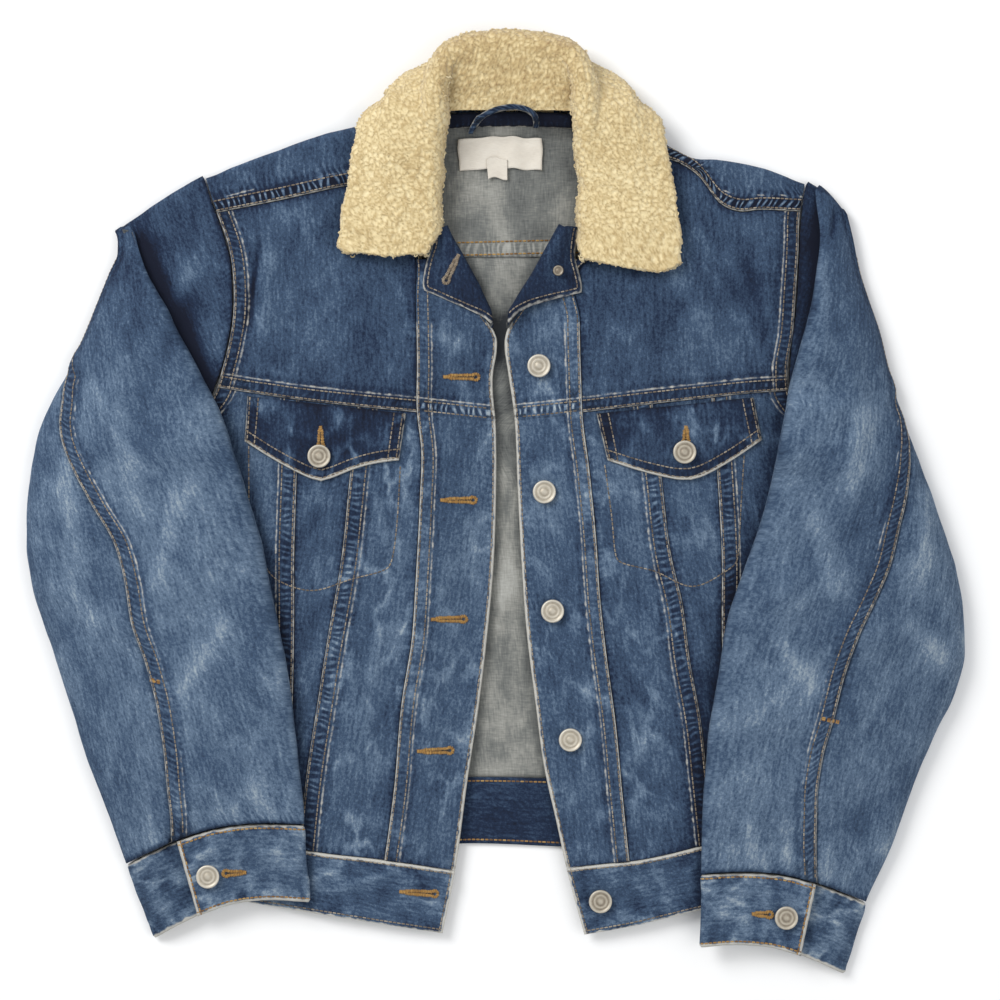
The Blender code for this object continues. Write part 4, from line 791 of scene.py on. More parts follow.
@dataclass(frozen=True)
class DenimFinish:
    """Washed indigo denim: upright slubs, pale veins, roped seams and edges worn to white."""

    name: str = "washed_denim"
    stops: tuple = ((0.0, (0.0055, 0.0085, 0.022)), (0.25, (0.0130, 0.0265, 0.062)),
                    (0.5, (0.052, 0.091, 0.160)), (0.72, (0.146, 0.212, 0.305)),
                    (1.0, (0.42, 0.49, 0.54)))
    pale: tuple[float, float, float, float] = (0.64, 0.62, 0.56, 1.0)
    roughness: float = 0.88

    def make(self) -> bpy.types.Material:
        """Build the material.

        Returns:
            The denim. Its tone is the attribute tone, its roped seams come from the attribute
            rope (place along the seam, distance from it, strength) and its worn edges from rim.
        """
        w = Weave(self.name)
        slub = w.noise(w.grain(430, 60, 0.08), 2.0, 0.6)
        thread = w.noise(w.grain(520, 380, 0.6), 2.0, 0.7)
        fuzz = w.noise(w.grain(700, 1500), 1.0, 0.5)
        blotch = w.noise(w.grain(44, 22), 3.0, 0.62, 0.3)
        vein = w.span(w.cracks(w.grain(40, 23, 0.3), 0.55), 0.0, 0.14, 1.0, 0.0)
        vein_mask = w.span(w.noise(w.grain(33, 27), 2.0), 0.42, 0.66)
        bars, strength = w.bars()
        fade = w.sum(w.attribute("tone"), w.swing(slub, 0.44), w.swing(thread, 0.60),
                     w.swing(fuzz, 0.20), w.swing(blotch, 0.44),
                     w.times(vein, vein_mask, w.attribute("wear")),
                     w.times(w.math("SUBTRACT", bars, 0.30), w.times(strength, 0.42)))
        ragged = w.sum(w.attribute("rim"), w.swing(w.noise(w.grain(260, 260), 2.0), 2.6))
        worn = w.span(ragged, 0.5, 1.9, 0.9, 0.0)
        height = w.sum(w.times(w.twill(900, 0.96), 0.12), w.times(slub, 0.30),
                       w.times(thread, 0.30), w.times(bars, w.times(strength, 0.7)))
        w.relief(height, 0.0011)
        return w.surface(w.blend(worn, w.ramp(fade, self.stops), self.pale),
                         Roughness=self.roughness, Specular_IOR_Level=0.25)


@dataclass(frozen=True)
class ReverseFinish:
    """The grey reverse of the denim: white filling threads over the indigo warp."""

    name: str = "denim_reverse"
    stops: tuple = ((0.0, (0.030, 0.034, 0.040)), (0.42, (0.160, 0.166, 0.157)),
                    (0.60, (0.262, 0.262, 0.240)), (1.0, (0.46, 0.46, 0.43)))

    def make(self) -> bpy.types.Material:
        """Build the material from crossed thread noises and soft patches, partly soiling and partly
        painted shade of wrinkles.
        """
        w = Weave(self.name)
        weft = w.noise(w.grain(150, 800), 2.0, 0.6)
        warp = w.noise(w.grain(800, 110), 2.0, 0.6)
        # large soft patches: partly soiling, partly painted shade of wrinkles
        stain_and_wrinkle_shade = w.noise(w.grain(26, 22), 3.0, 0.6, 0.6)
        bars, strength = w.bars()
        value = w.sum(w.attribute("tone"), w.swing(weft, 0.40), w.swing(warp, 0.46),
                      w.swing(stain_and_wrinkle_shade, 0.85), w.swing(bars, w.times(strength, 0.5)))
        w.relief(w.sum(w.times(weft, 0.5), w.times(warp, 0.5)), 0.0005)
        return w.surface(w.ramp(value, self.stops), Roughness=0.92)


@dataclass(frozen=True)
class FleeceFinish:
    """Cream pile: pale curl tips over a yellower ground, painted darker in the hollows between the
    curls as shade.
    """

    name: str = "sherpa_pile"
    stops: tuple = ((0.0, (0.33, 0.20, 0.075)), (0.35, (0.58, 0.43, 0.20)),
                    (0.65, (0.82, 0.67, 0.375)), (1.0, (0.96, 0.86, 0.58)))

    def make(self) -> bpy.types.Material:
        """Build the material: the attribute tone is 0 in a hollow and 1 on a curl's top; its dark
        end paints the shade in the hollows.
        """
        w = Weave(self.name)
        fluff = w.noise(w.place(800), 3.0, 0.65)
        value = w.sum(w.attribute("tone"), w.swing(fluff, 0.34),
                      w.swing(w.noise(w.place(40), 2.0), 0.22))
        w.relief(fluff, 0.0012)
        return w.surface(w.ramp(value, self.stops), Roughness=0.95, Sheen_Weight=0.35,
                         Sheen_Roughness=0.6)


@dataclass(frozen=True)
class ThreadFinish:
    """Sewing thread: a base colour with paler and darker stitches, and a twist."""

    name: str
    dark: tuple[float, float, float]
    mid: tuple[float, float, float]
    light: tuple[float, float, float]

    def make(self) -> bpy.types.Material:
        """Build the material: the attribute tone picks each stitch's shade."""
        w = Weave(self.name)
        twist = w.twill(1100, 0.9)
        value = w.sum(w.attribute("tone"), w.swing(twist, 0.18))
        w.relief(twist, 0.0002)
        stops = ((0.0, (0.018, 0.012, 0.010)), (0.14, self.dark), (0.55, self.mid),
                 (1.0, self.light))
        return w.surface(w.ramp(value, stops), Roughness=0.6, Sheen_Weight=0.15)


@dataclass(frozen=True)
class MetalFinish:
    """Antique nickel: pale rims, dull hollows and fine scratches."""

    name: str = "antique_nickel"

    def make(self) -> bpy.types.Material:
        """Build the material: the attribute tone is 0 in a hollow and 1 on a rim."""
        w = Weave(self.name)
        spots = w.noise(w.place(420), 3.0, 0.6)
        value = w.sum(w.attribute("tone"), w.swing(spots, 0.5))
        stops = ((0.0, (0.20, 0.165, 0.125)), (0.45, (0.42, 0.375, 0.30)),
                 (1.0, (0.62, 0.575, 0.49)))
        w.relief(spots, 0.00012)
        return w.surface(w.ramp(value, stops), Metallic=0.55, Roughness=0.5)


@dataclass(frozen=True)
class TapeFinish:
    """Plain woven label tape, a little creased."""

    name: str = "label_tape"

    def make(self) -> bpy.types.Material:
        """Build the material from crossed threads and faint soiling."""
        w = Weave(self.name)
        weft = w.noise(w.grain(240, 2200), 1.0)
        soil = w.noise(w.grain(60, 60), 2.0)
        value = w.sum(0.5, w.swing(weft, 0.35), w.swing(soil, 0.5))
        stops = ((0.0, (0.46, 0.41, 0.35)), (0.5, (0.68, 0.63, 0.55)), (1.0, (0.82, 0.79, 0.72)))
        w.relief(weft, 0.0003)
        return w.surface(w.ramp(value, stops), Roughness=0.75)


@dataclass
class Wardrobe:
    """Every finish, made once."""

    denim: bpy.types.Material
    reverse: bpy.types.Material
    fleece: bpy.types.Material
    tan: bpy.types.Material
    ochre: bpy.types.Material
    nickel: bpy.types.Material
    tape: bpy.types.Material

    @classmethod
    def stocked(cls) -> "Wardrobe":
        """Make all finishes."""
        tan = ThreadFinish("tan_thread", (0.11, 0.080, 0.055), (0.30, 0.23, 0.155),
                           (0.56, 0.48, 0.37))
        ochre = ThreadFinish("ochre_thread", (0.18, 0.075, 0.012), (0.46, 0.235, 0.045),
                             (0.68, 0.43, 0.14))
        return cls(DenimFinish().make(), ReverseFinish().make(), FleeceFinish().make(),
                   tan.make(), ochre.make(), MetalFinish().make(), TapeFinish().make())


# ================================================================ cloth
GRAIN_SHIFT = 37.0         # moves each piece's weave, so that no two are alike
UNWORN = 30.0              # rim of the points that are far from every worn edge
BORDER_RUN = 900.0         # keeps the waves of a cloth's borders apart
LAP_RISE = 0.8             # a felled strip over its panel
CROSSING_BARS = 1.5        # roping of a felled strip that crosses a cloth


class Border(Enum):
    """What happens at a cloth's border."""

    PLAIN = "plain"        # nothing
    LAP = "lap"            # felled over its neighbour and sewn twice
    UNDER = "under"        # goes under its neighbour
    FOLD = "fold"          # turned edge, rounded and worn pale


@dataclass
class Cloth:
    """One cloth piece: the points of its smooth outer face, then its sewing's marks on them."""

    name: str
    points: Array
    wall: float
    borders: dict[str, Border] = field(default_factory=dict)
    lap: float = 12.0                      # width of its felled strips
    tone: float = 0.5                      # how faded: 0 is near black, 1 near white
    sideways: bool = False                 # cut with the grain across
    flip: bool = False                     # its outer face looks down the grid's normal
    mask: Optional[Array] = None           # which of the grid's faces it has
    ruffle: float = 0.35                   # height of its soft waves
    crossing: Optional[Array] = None       # distance from a felled seam that crosses it
    fray: float = 0.0                      # how far its rims stay unworn
    folds: bool = True                     # takes part in the small creases
    inside_out: bool = False
    strip_shade: float = 0.17
    hem_shade: float = 0.0
    frays: dict[str, float] = field(default_factory=dict)
    bars: float = 1.0
    wear: float = 0.08
    warp: Optional[Curve] = None
    inward: int = 0
    pucker: float = 0.0

    def __post_init__(self) -> None:
        """Measure the smooth cloth, then raise its laps, round its edges and ruffle it."""
        across, up = along(self.points, 1), along(self.points, 0)
        self.away = {"west": (across, up), "east": (across[:, -1:] - across, up),
                     "south": (up, across), "north": (up[-1:] - up, across)}
        self.across, self.up = across, up
        self.flat = (float(np.mean(across[:, -1])), float(np.mean(up[-1])))
        self.normal = normals_of(self.points) * (-1 if self.flip else 1)
        self.area = area_of(self.points, self.mask)
        self.mark()

    def mark(self) -> None:
        """Work out the relief and the attributes tone, rope and rim from the borders.

        The cloth ruffles beside each seam, by waves along it that die away with the distance.
        """
        shape = self.points.shape[:2]
        x, y = self.points[..., 0], self.points[..., 1]
        self.raised, self.drop, self.shade = np.zeros((3, *shape))
        self.rope, self.rim = np.zeros((*shape, 3)), np.full(shape, UNWORN)
        self.crush = self.pucker * 0.7 * waves(x, y, 14.0, 15, 1.7)
        strips = []
        for number, (border, kind) in enumerate(self.borders.items()):
            away, place = self.away[border]
            place = place + BORDER_RUN * number
            if kind is Border.LAP:
                strips.append((away, place, self.bars))
                self.drop = np.maximum(self.drop, 0.45 * (1 - step(away / 0.9)))
                self.rim = np.minimum(self.rim, away + 0.5 + self.fray)
            elif kind is Border.UNDER:
                self.keep(0.25 * np.exp(-away / 6.0), place, away)
                # painted shadow: the cloth darkened just beside a seam where it goes under its
                # neighbour
                self.darken(0.26 * np.exp(-away / 2.2))
            elif kind is Border.FOLD:
                self.turn(border, number, away, place)
        if self.crossing is not None:
            strips.append((self.crossing, x, CROSSING_BARS))
        for strip in strips:
            self.fell(*strip)
        gather = waves(self.rope[..., 0], self.rope[..., 1] * 0.3, 9.0, 11)
        gather = gather * 0.30 * self.rope[..., 2]
        soft = waves(x, y, 46.0, 5, 1.6) * self.ruffle + waves(x, y, 17.0, 6, 1.5) * 0.16
        small = ridges(x, y, FOLDS) if self.folds else np.zeros(shape)
        lift = self.raised - self.drop + gather + soft * step(self.rim / 14.0) + small
        self.points = self.points + self.normal * (lift + 0.40 * self.crush)[..., None]
        self.points[..., 2] = np.maximum(self.points[..., 2], 0.0)
        # tone: the piece's fade and broad random waves; lighter on the tops of the soft ruffles and
        # puckers and darker in their hollows, which is painted light and shade; creases worn pale
        # along their tops and grooves painted dark as shade; less the shade: painted shadow beside
        # seams and the darker colour of strips and hems
        self.tones = self.tone + 0.05 * waves(x, y, 150.0, 8, 1.8) + 0.075 * soft \
            + 0.13 * np.minimum(small, 1.2) + 0.09 * self.crush - self.shade

    def turn(self, border: str, number: int, away: Array, place: Array) -> None:
        """Round a turned edge off by a quarter circle, wear it pale and crush the cloth by it.

        Args:
            border: west, east, south or north.
            number: the border's number, which seeds its waves.
            away: distance of each point from the border.
            place: place of each point along it.
        """
        round_off = 1 - np.sqrt(np.clip(1 - (1 - np.minimum(away / 1.5, 1.0)) ** 2, 0, 1))
        self.drop = np.maximum(self.drop, 0.55 * self.wall * round_off)
        ragged = self.frays.get(border, self.fray)
        self.rim = np.minimum(self.rim, away + ragged + 0.45 * waves(place, place, 14.0, 14))
        self.keep(0.6 * self.bars * np.exp(-(np.maximum(away - 4.0, 0) / 4.0)), place, away)
        self.darken(self.hem_shade * step(9.0 - away))
        ripple = waves(place, away * 0.25, 7.5, 16 + number)
        self.crush = self.crush + self.pucker * ripple * np.exp(-np.maximum(away - 3.0, 0) / 6.0)

    def fell(self, away: Array, place: Array, bars: float) -> None:
        """Raise a felled strip by a smooth step, with its roping, its darker colour, a painted
        shadow beside it and its worn edge.

        Args:
            away: distance of each point from the strip's start.
            place: place of each point along the strip.
            bars: strength of the roping.
        """
        here = away > -0.5
        inside = step((self.lap + 0.6 - away) / 1.2) * here
        self.raised = np.maximum(self.raised, LAP_RISE * inside)
        self.rim = np.minimum(self.rim, np.abs(away - self.lap - 0.9) + 1.0)
        middle = np.clip(1.3 - np.abs(away / self.lap - 0.5) * 3.6, 0, 1)
        roped = np.where(away < self.lap, 0.04 + middle, 0.35 * np.exp(-(away - self.lap) / 6.0))
        self.keep(bars * roped * here, place, away)
        self.darken(self.strip_shade * inside)
        # painted shadow: a dark line on the panel just beyond the strip's edge
        self.darken(0.15 * np.exp(-((away - self.lap - 3.0) / 2.0) ** 2))

    def darken(self, shade: Array) -> None:
        """Darken the cloth by at least this much: for painted shadow beside seams, and for the
        darker colour of felled strips and hems.
        """
        self.shade = np.maximum(self.shade, shade)

    def keep(self, strength: Array, place: Array, away: Array) -> None:
        """Let a seam rule the points where its roping is the strongest so far."""
        strength = strength * np.ones(self.rope.shape[:2])
        here = strength > self.rope[..., 2]
        self.rope[here] = np.stack([place, away, strength], axis=-1)[here]

    def line(self, border: str, distance: float, start: float = 0.0,
             stop: float = 1.0) -> tuple[Array, Array]:
        """The line at a distance from a border, on the finished face.

        Args:
            border: west, east, south or north.
            distance: distance in mm along the cloth.
            start: share of the line to leave out at its start.
            stop: share at which the line ends.

        Returns:
            Points and unit normals, in order.
        """
        away, _ = self.away[border]
        points, normal = self.points, self.normal
        if border in ("south", "north"):
            away, points, normal = away.T, points.swapaxes(0, 1), normal.swapaxes(0, 1)
        if border in ("east", "north"):
            away, points, normal = away[:, ::-1], points[:, ::-1], normal[:, ::-1]
        row = np.arange(len(away))
        low = np.clip((away < distance).sum(axis=1) - 1, 0, away.shape[1] - 2)
        span = np.maximum(away[row, low + 1] - away[row, low], 1e-6)
        share = np.clip((distance - away[row, low]) / span, 0, 1)[:, None]
        found = points[row, low] * (1 - share) + points[row, low + 1] * share
        facing = normal[row, low] * (1 - share) + normal[row, low + 1] * share
        first, last = int(round(start * len(row))), int(round(stop * len(row)))
        return found[first:last], facing[first:last]

    def grid_faces(self) -> Array:
        """Corner numbers of the grid's faces, without what the mask leaves out."""
        faces = quads(*self.points.shape[:2])
        faces = faces[np.ones(faces.shape[:2], bool) if self.mask is None else self.mask]
        return faces[:, ::-1] if self.flip else faces

    def build(self, wardrobe: Wardrobe) -> bpy.types.Object:
        """Make the piece: mesh, UV map in metres along the grain, attributes and wall."""
        used, faces = np.unique(self.grid_faces(), return_inverse=True)
        faces = faces.reshape(-1, 4)
        grain = np.stack([self.across, self.up], axis=-1)
        if self.warp is not None:
            x, y, z = np.moveaxis(self.points, -1, 0)
            grain = np.stack([x - self.warp(y) + 0.8 * self.inward * z, y], axis=-1)
        if self.sideways:
            grain = grain[..., ::-1]
        finishes = [wardrobe.denim, wardrobe.reverse]
        attributes = {"tone": self.tones.reshape(-1)[used], "rim": self.rim.reshape(-1)[used],
                      "wear": np.full(len(used), self.wear),
                      "rope": self.rope.reshape(-1, 3)[used]}
        piece = new_piece(self.name, self.points.reshape(-1, 3)[used], faces, attributes,
                          finishes[::-1] if self.inside_out else finishes,
                          grain.reshape(-1, 2)[used] + GRAIN_SHIFT * len(self.name))
        solid = piece.modifiers.new("wall", "SOLIDIFY")
        solid.thickness = self.wall * MM
        solid.offset = -1.0
        solid.material_offset = 1
        return piece


def placed(name: str, data: bpy.types.ID) -> bpy.types.Object:
    """A new object in the scene."""
    thing = bpy.data.objects.new(name, data)
    bpy.context.scene.collection.objects.link(thing)
    return thing


def new_piece(name: str, points: Array, faces: "Array | list", attributes: dict[str, Array],
              finishes: Sequence[bpy.types.Material],
              grain: Optional[Array] = None) -> bpy.types.Object:
    """Put points and faces of the mm tables into a new smooth mesh object in metres.

    Args:
        name: the object's name.
        points: vertices in mm in the tables' frame.
        faces: corner numbers of each face.
        attributes: values or vectors of each vertex by name.
        finishes: materials.
        grain: UV of each vertex in mm.

    Returns:
        The object.
    """
    mesh = bpy.data.meshes.new(name)
    mesh.from_pydata(((points - MIDDLE) * MM).tolist(), [],
                     faces if isinstance(faces, list) else faces.tolist())
    mesh.polygons.foreach_set("use_smooth", np.full(len(mesh.polygons), True))
    if grain is not None:
        layer = mesh.uv_layers.new(name="Grain")
        layer.data.foreach_set("uv", (grain[faces.reshape(-1)] * MM).astype(np.float32).reshape(-1))
    for key, values in attributes.items():
        kind, channel = ("FLOAT_VECTOR", "vector") if values.ndim == 2 else ("FLOAT", "value")
        store = mesh.attributes.new(key, kind, "POINT")
        store.data.foreach_set(channel, np.ascontiguousarray(values, np.float32).reshape(-1))
    for material in finishes:
        mesh.materials.append(material)
    mesh.update()
    return placed(name, mesh)


def dress(piece: bpy.types.Object, slot: str, *nodes: str) -> bpy.types.Object:
    """Let a piece ride on the jacket and stand for its CAD nodes."""
    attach(piece, "root")
    if nodes:
        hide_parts(*nodes)
    LOG.info("%s: %d faces", piece.name, len(piece.data.polygons))
    return piece


def scatter(name: str, slot: str, copies: Array, faces: Array, tone: Array,
            finish: bpy.types.Material) -> None:
    """Make one piece of small copies [copy, vertex, xyz] with equal faces, and a tone each."""
    count, corners = copies.shape[:2]
    every = faces[None] + (np.arange(count) * corners)[:, None, None]
    points = copies.reshape(-1, 3)
    piece = new_piece(name, points, every.reshape(-1, 4), {"tone": np.repeat(tone, corners)},
                      [finish], points[:, :2])
    dress(piece, slot)


def lay_sheet(cloth: Cloth, wardrobe: Wardrobe, slot: str) -> None:
    """Build a cloth that stands for the CAD node of its name.

    Args:
        cloth: the cloth.
        wardrobe: the finishes.
        slot: name of a material slot, which is not used.
    """
    piece = cloth.build(wardrobe)
    dress(piece, slot, cloth.name.removesuffix("_cloth"))


# ================================================================ the body
@dataclass
class Front:
    """One front: yoke, three panels, placket, hem band, flap and turned-out lapel."""

    side: Side
    spacing: float = 2.4
    strip: float = 12.8        # width of the felled vee seams, centred on their tables
    yoke_strip: float = 10.0   # width of the felled yoke seam
    flap_lift: float = 0.6     # flap over the felled seams under it
    cloths: dict[str, Cloth] = field(default_factory=dict)
    lapel_line: Optional[Array] = None

    def cut(self) -> None:
        """Cut the pieces between the seams' curves, each on its own grid."""
        side, inward = self.side, self.side.inward
        outer, edge, placket = seam(OUTER[side]), seam(EDGE[side]), seam(PLACKET[side])
        inner_vee = shifted(seam(INNER_VEE[side]), -inward * self.strip / 2)
        outer_vee = shifted(seam(OUTER_VEE[side]), inward * self.strip / 2)
        yoke_seam, band_top = seam(YOKE_SEAM[side]), seam(BAND_TOP[side])
        hem, shoulder = seam(BAND_HEM[side]), seam(SHOULDER_SEAM[side])
        lap, under, fold, plain = Border.LAP, Border.UNDER, Border.FOLD, Border.PLAIN
        sizes = {
            "front_yoke": (outer, placket, yoke_seam, shoulder, 135, 150, DENIM,
                           (lap, under, lap, under), self.yoke_strip, 0.40),
            "front_side_panel": (outer, outer_vee, band_top, yoke_seam, 68, 330, DENIM,
                                 (lap, lap, under, under), self.strip, 0.52),
            "front_middle_panel": (outer_vee, inner_vee, band_top, yoke_seam, 40, 330, DENIM,
                                   (under, under, under, under), self.strip, 0.49),
            "front_centre_panel": (inner_vee, placket, band_top, yoke_seam, 55, 330, DENIM,
                                   (lap, under, under, under), self.strip, 0.50),
            "hem_band_front": (outer, edge, hem, band_top, 180, 46, BAND,
                               (plain, fold, fold, fold), self.strip, 0.49),
        }
        for name, (near, far, low, high, width, height, wall, ways, strip, tone) in sizes.items():
            if side is L:
                near, far, ways = far, near, (ways[1], ways[0], *ways[2:])
            zones = [strip_stations(strip, self.spacing) if way is lap else (0.5, 1.1, 2.2)
                     for way in ways]
            x, y = between(near, far, low, high, spread(width, self.spacing, *zones[:2]),
                           spread(height, self.spacing, *zones[2:]))
            hem = name.startswith("hem")
            self.add(name, on_front(x, y, wall), wall,
                     dict(zip(("west", "east", "south", "north"), ways)),
                     lap=strip, tone=tone, sideways=hem, fray=0.3, pucker=1.0 if hem else 0.0,
                     bars=0.2 if hem else 0.55 if "yoke" in name else 0.8,
                     frays={"north": -0.9, "east" if side is R else "west": -0.4},
                     wear=WEAR.get(name, 0.14), warp=None if hem else self.lean(name))
        self.cut_placket(placket, edge, band_top, yoke_seam)
        self.cut_flap()
        self.shade_beside_sleeve()
        self.cut_lapel()

    def shade_beside_sleeve(self) -> None:
        """Darken the cloths along the sleeve's inner edge, where little light comes."""
        beside = seam(sorted((row[5], row[4]) for row in SLEEVE[self.side][PIT_ROW - 1:]))
        depth, reach = SLEEVE_SHADE[self.side]
        for cloth in self.cloths.values():
            x, y = cloth.points[..., 0], cloth.points[..., 1]
            away = np.abs(x - beside(y))
            cloth.tones -= depth * np.exp(-away / reach) * step((105 - y) / 30)

    def lean(self, name: str) -> Curve:
        """Where the warp runs: upright in the yoke, along the front edge below it."""
        return level(0.0) if "yoke" in name else seam(WARP[self.side])

    def add(self, name: str, points: Array, wall: float, borders: dict[str, Border],
            **more: object) -> None:
        """Keep one cloth under its plain name."""
        self.cloths[name] = Cloth(f"{name}_{self.side.value}_cloth", points, wall, borders, **more)

    def cut_placket(self, placket: Curve, edge: Curve, band_top: Curve,
                    yoke_seam: Curve) -> None:
        """The placket runs over the yoke seam, whose strip crosses it."""
        inward = self.side.inward

        def roll(y: Array) -> Array:
            """Front edge, kept clear of the lapel's roll."""
            return edge(y) - inward * ROLL_ROOM * step((y - 124) / 12)

        zones = [strip_stations(10.0, 2.2), (0.5, 1.1, 1.8)]
        if self.side is R:
            first, second, across = placket, roll, spread(58, 2.2, *zones)
        else:
            first, second, across = roll, placket, spread(58, 2.2, *zones[::-1])
        low_x, low_y = between(first, second, band_top, yoke_seam, across, spread(325, 2.3))
        high_x, high_y = between(first, second, yoke_seam, level(NECK_END), across,
                                 spread(114, 2.2, strip_stations(self.yoke_strip, 2.2)))
        x, y = np.vstack([low_x, high_x[1:]]), np.vstack([low_y, high_y[1:]])
        seam_side, free = ("west", "east") if self.side is R else ("east", "west")
        self.add("front_placket", on_front(x, y, DOUBLE), DOUBLE,
                 {seam_side: Border.LAP, free: Border.FOLD, "south": Border.UNDER}, lap=10.0,
                 tone=0.49, crossing=y - yoke_seam(x), strip_shade=0.03, bars=0.3,
                 frays={free: -0.7}, warp=self.lean("placket"), wear=WEAR["front_placket"])
        self.cloths["front_placket"].rim += 6 * step((y - 131) / 4)
        self.cloths["front_placket"].tones -= 0.25 * step((y - 158) / 10)

    def cut_flap(self) -> None:
        """Pocket flap: a pointed pentagon from its top edge to a low line with a tip."""
        top_a, top_b, low_a, tip, low_b = (np.array(p, float) for p in FLAP[self.side])
        across = even(60)[None, :, None]
        place = spread(45, 1.9, (0.5, 1.1, 1.8), ()).column()
        down = np.clip(place.share + place.offset / 45.0, 0, 1)[..., None]
        top = top_a + (top_b - top_a) * across
        part = np.where(across < 0.5, across * 2, across * 2 - 1)
        low = np.where(across < 0.5, low_a + (tip - low_a) * part, tip + (low_b - tip) * part)
        bend = np.where(across < 0.5, *FLAP_BEND[self.side]) * np.sin(math.pi * part) \
            + 1.6 * np.exp(-((across - 0.5) / 0.05) ** 2)
        low = low + bend * np.array([0.0, 1.0])
        plan = low + (top - low) * down
        points = on_front(plan[..., 0], plan[..., 1], DENIM + LIE + BAND + self.flap_lift)
        self.add("pocket_flap", points, BAND,
                 {"west": Border.FOLD, "east": Border.FOLD, "south": Border.FOLD,
                  "north": Border.UNDER}, tone=0.24, ruffle=0.9, hem_shade=0.10, bars=0.4,
                 frays={"south": -1.0, "west": 0.7, "east": 0.7}, warp=level(0.0),
                 wear=WEAR["pocket_flap"])

    def cut_lapel(self) -> None:
        """Turned-out corner: a round roll at the front edge, then flat outward over it."""
        side = self.side
        values = np.array(LAPEL[side], float)
        roll, edge, full = values[:, :2], values[:, 2:4], values[:, 4]
        run = roll[-1] - roll[0]
        run /= np.hypot(*run)
        inward = np.array([run[1], -run[0]]) * side.inward
        under = front_under(roll[:, 0], roll[:, 1])
        rise = LEAST_LIFT + (LAPEL_LIFT[side] - LEAST_LIFT) * full
        columns = [np.column_stack([roll + inward * (reach * full)[:, None], under + height])
                   for reach, height in ((0.0, 0.3), (2.7, 1.3), (4.0, rise * 0.5),
                                         (2.7, rise - 1.0), (-0.5, rise))]
        high = under + rise + 0.5
        for part in (0.4, 0.7, 1.0):
            plan = roll + (edge - roll) * part
            rest = front_under(plan[:, 0], plan[:, 1]) + DOUBLE + LIE + LAPEL_WALL
            z = np.maximum(rest, high + (rest - high) * part ** 1.5)
            columns.append(np.column_stack([plan, z]))
        points = denser(np.stack(columns, axis=1), 1.6)
        self.add("lapel_facing", points, LAPEL_WALL,
                 {"east": Border.FOLD, "south": Border.FOLD, "north": Border.PLAIN}, tone=0.22,
                 flip=side is R, ruffle=0.3, folds=False, bars=0.0, warp=level(0.0))
        cloth = self.cloths["lapel_facing"]
        plan, rim = cloth.points[..., :2], cloth.points[:, -1, :2]
        away = np.min(np.linalg.norm(plan[:, :, None] - rim, axis=-1), axis=-1)
        cloth.rim = away + 0.3 + 0.1 * waves(plan[..., 0], plan[..., 1], 12.0, 18)
        run = np.gradient(rim, axis=0)
        aside = np.stack([-run[:, 1], run[:, 0]], axis=-1) / np.hypot(*run.T)[:, None]
        line = rim + 3.4 * aside * np.sign(np.sum(aside * (plan.mean(axis=(0, 1)) - rim),
                                                   axis=-1))[:, None]
        free = np.min(np.linalg.norm(line[:, None] - rim, axis=-1), axis=-1) > 3.0
        self.lapel_line = line[free]

    def sew(self, sewing: "Sewing") -> None:
        """Topstitch the laps twice, the folds once and the flap twice."""
        side = self.side
        near, far = ("west", "east") if side is R else ("east", "west")
        c = self.cloths
        for border, name, *rows in (
                (near, "front_yoke", 1.6, 8.6), ("south", "front_yoke", 1.5, 8.5),
                (near, "front_side_panel", 1.6, 10.6), (far, "front_side_panel", 1.6, 11.0),
                (near, "front_centre_panel", 1.6, 11.0), (near, "front_placket", 1.5, 8.6),
                (far, "front_placket", 2.6), (far, "hem_band_front", 2.8),
                ("south", "hem_band_front", 2.8), ("north", "hem_band_front", 2.6),
                ("south", "pocket_flap", 2.2, 8.4), ("west", "pocket_flap", 2.2, 8.4),
                ("east", "pocket_flap", 2.2, 8.4)):
            for distance in rows:
                sewing.run(*c[name].line(border, distance))
        body = Landing([c[name] for name in ("front_side_panel", "front_middle_panel",
                                             "front_centre_panel", "front_placket", "pocket_flap",
                                             "hem_band_front")])
        sewing.run(*body.line(rounded(np.array(POCKET_BAG[side], float), 2.0)))
        sewing.run(*Landing([c["lapel_facing"]]).line(self.lapel_line))
        placket = Landing([c["front_placket"]])
        seam_x = np.linspace(*((-52, -6) if side is R else (20, 60)), 40)
        for rise in (1.6, 8.6):
            seam_y = seam(YOKE_SEAM[side])(seam_x) + rise
            sewing.run(*placket.line(np.column_stack([seam_x, seam_y])))

    def make(self, wardrobe: Wardrobe) -> None:
        """Build every cloth of the front."""
        for name, cloth in self.cloths.items():
            slot, held = ("denim_dark", "folded") if name == "lapel_facing" else ("denim", "laid")
            lay_sheet(cloth, wardrobe, slot)


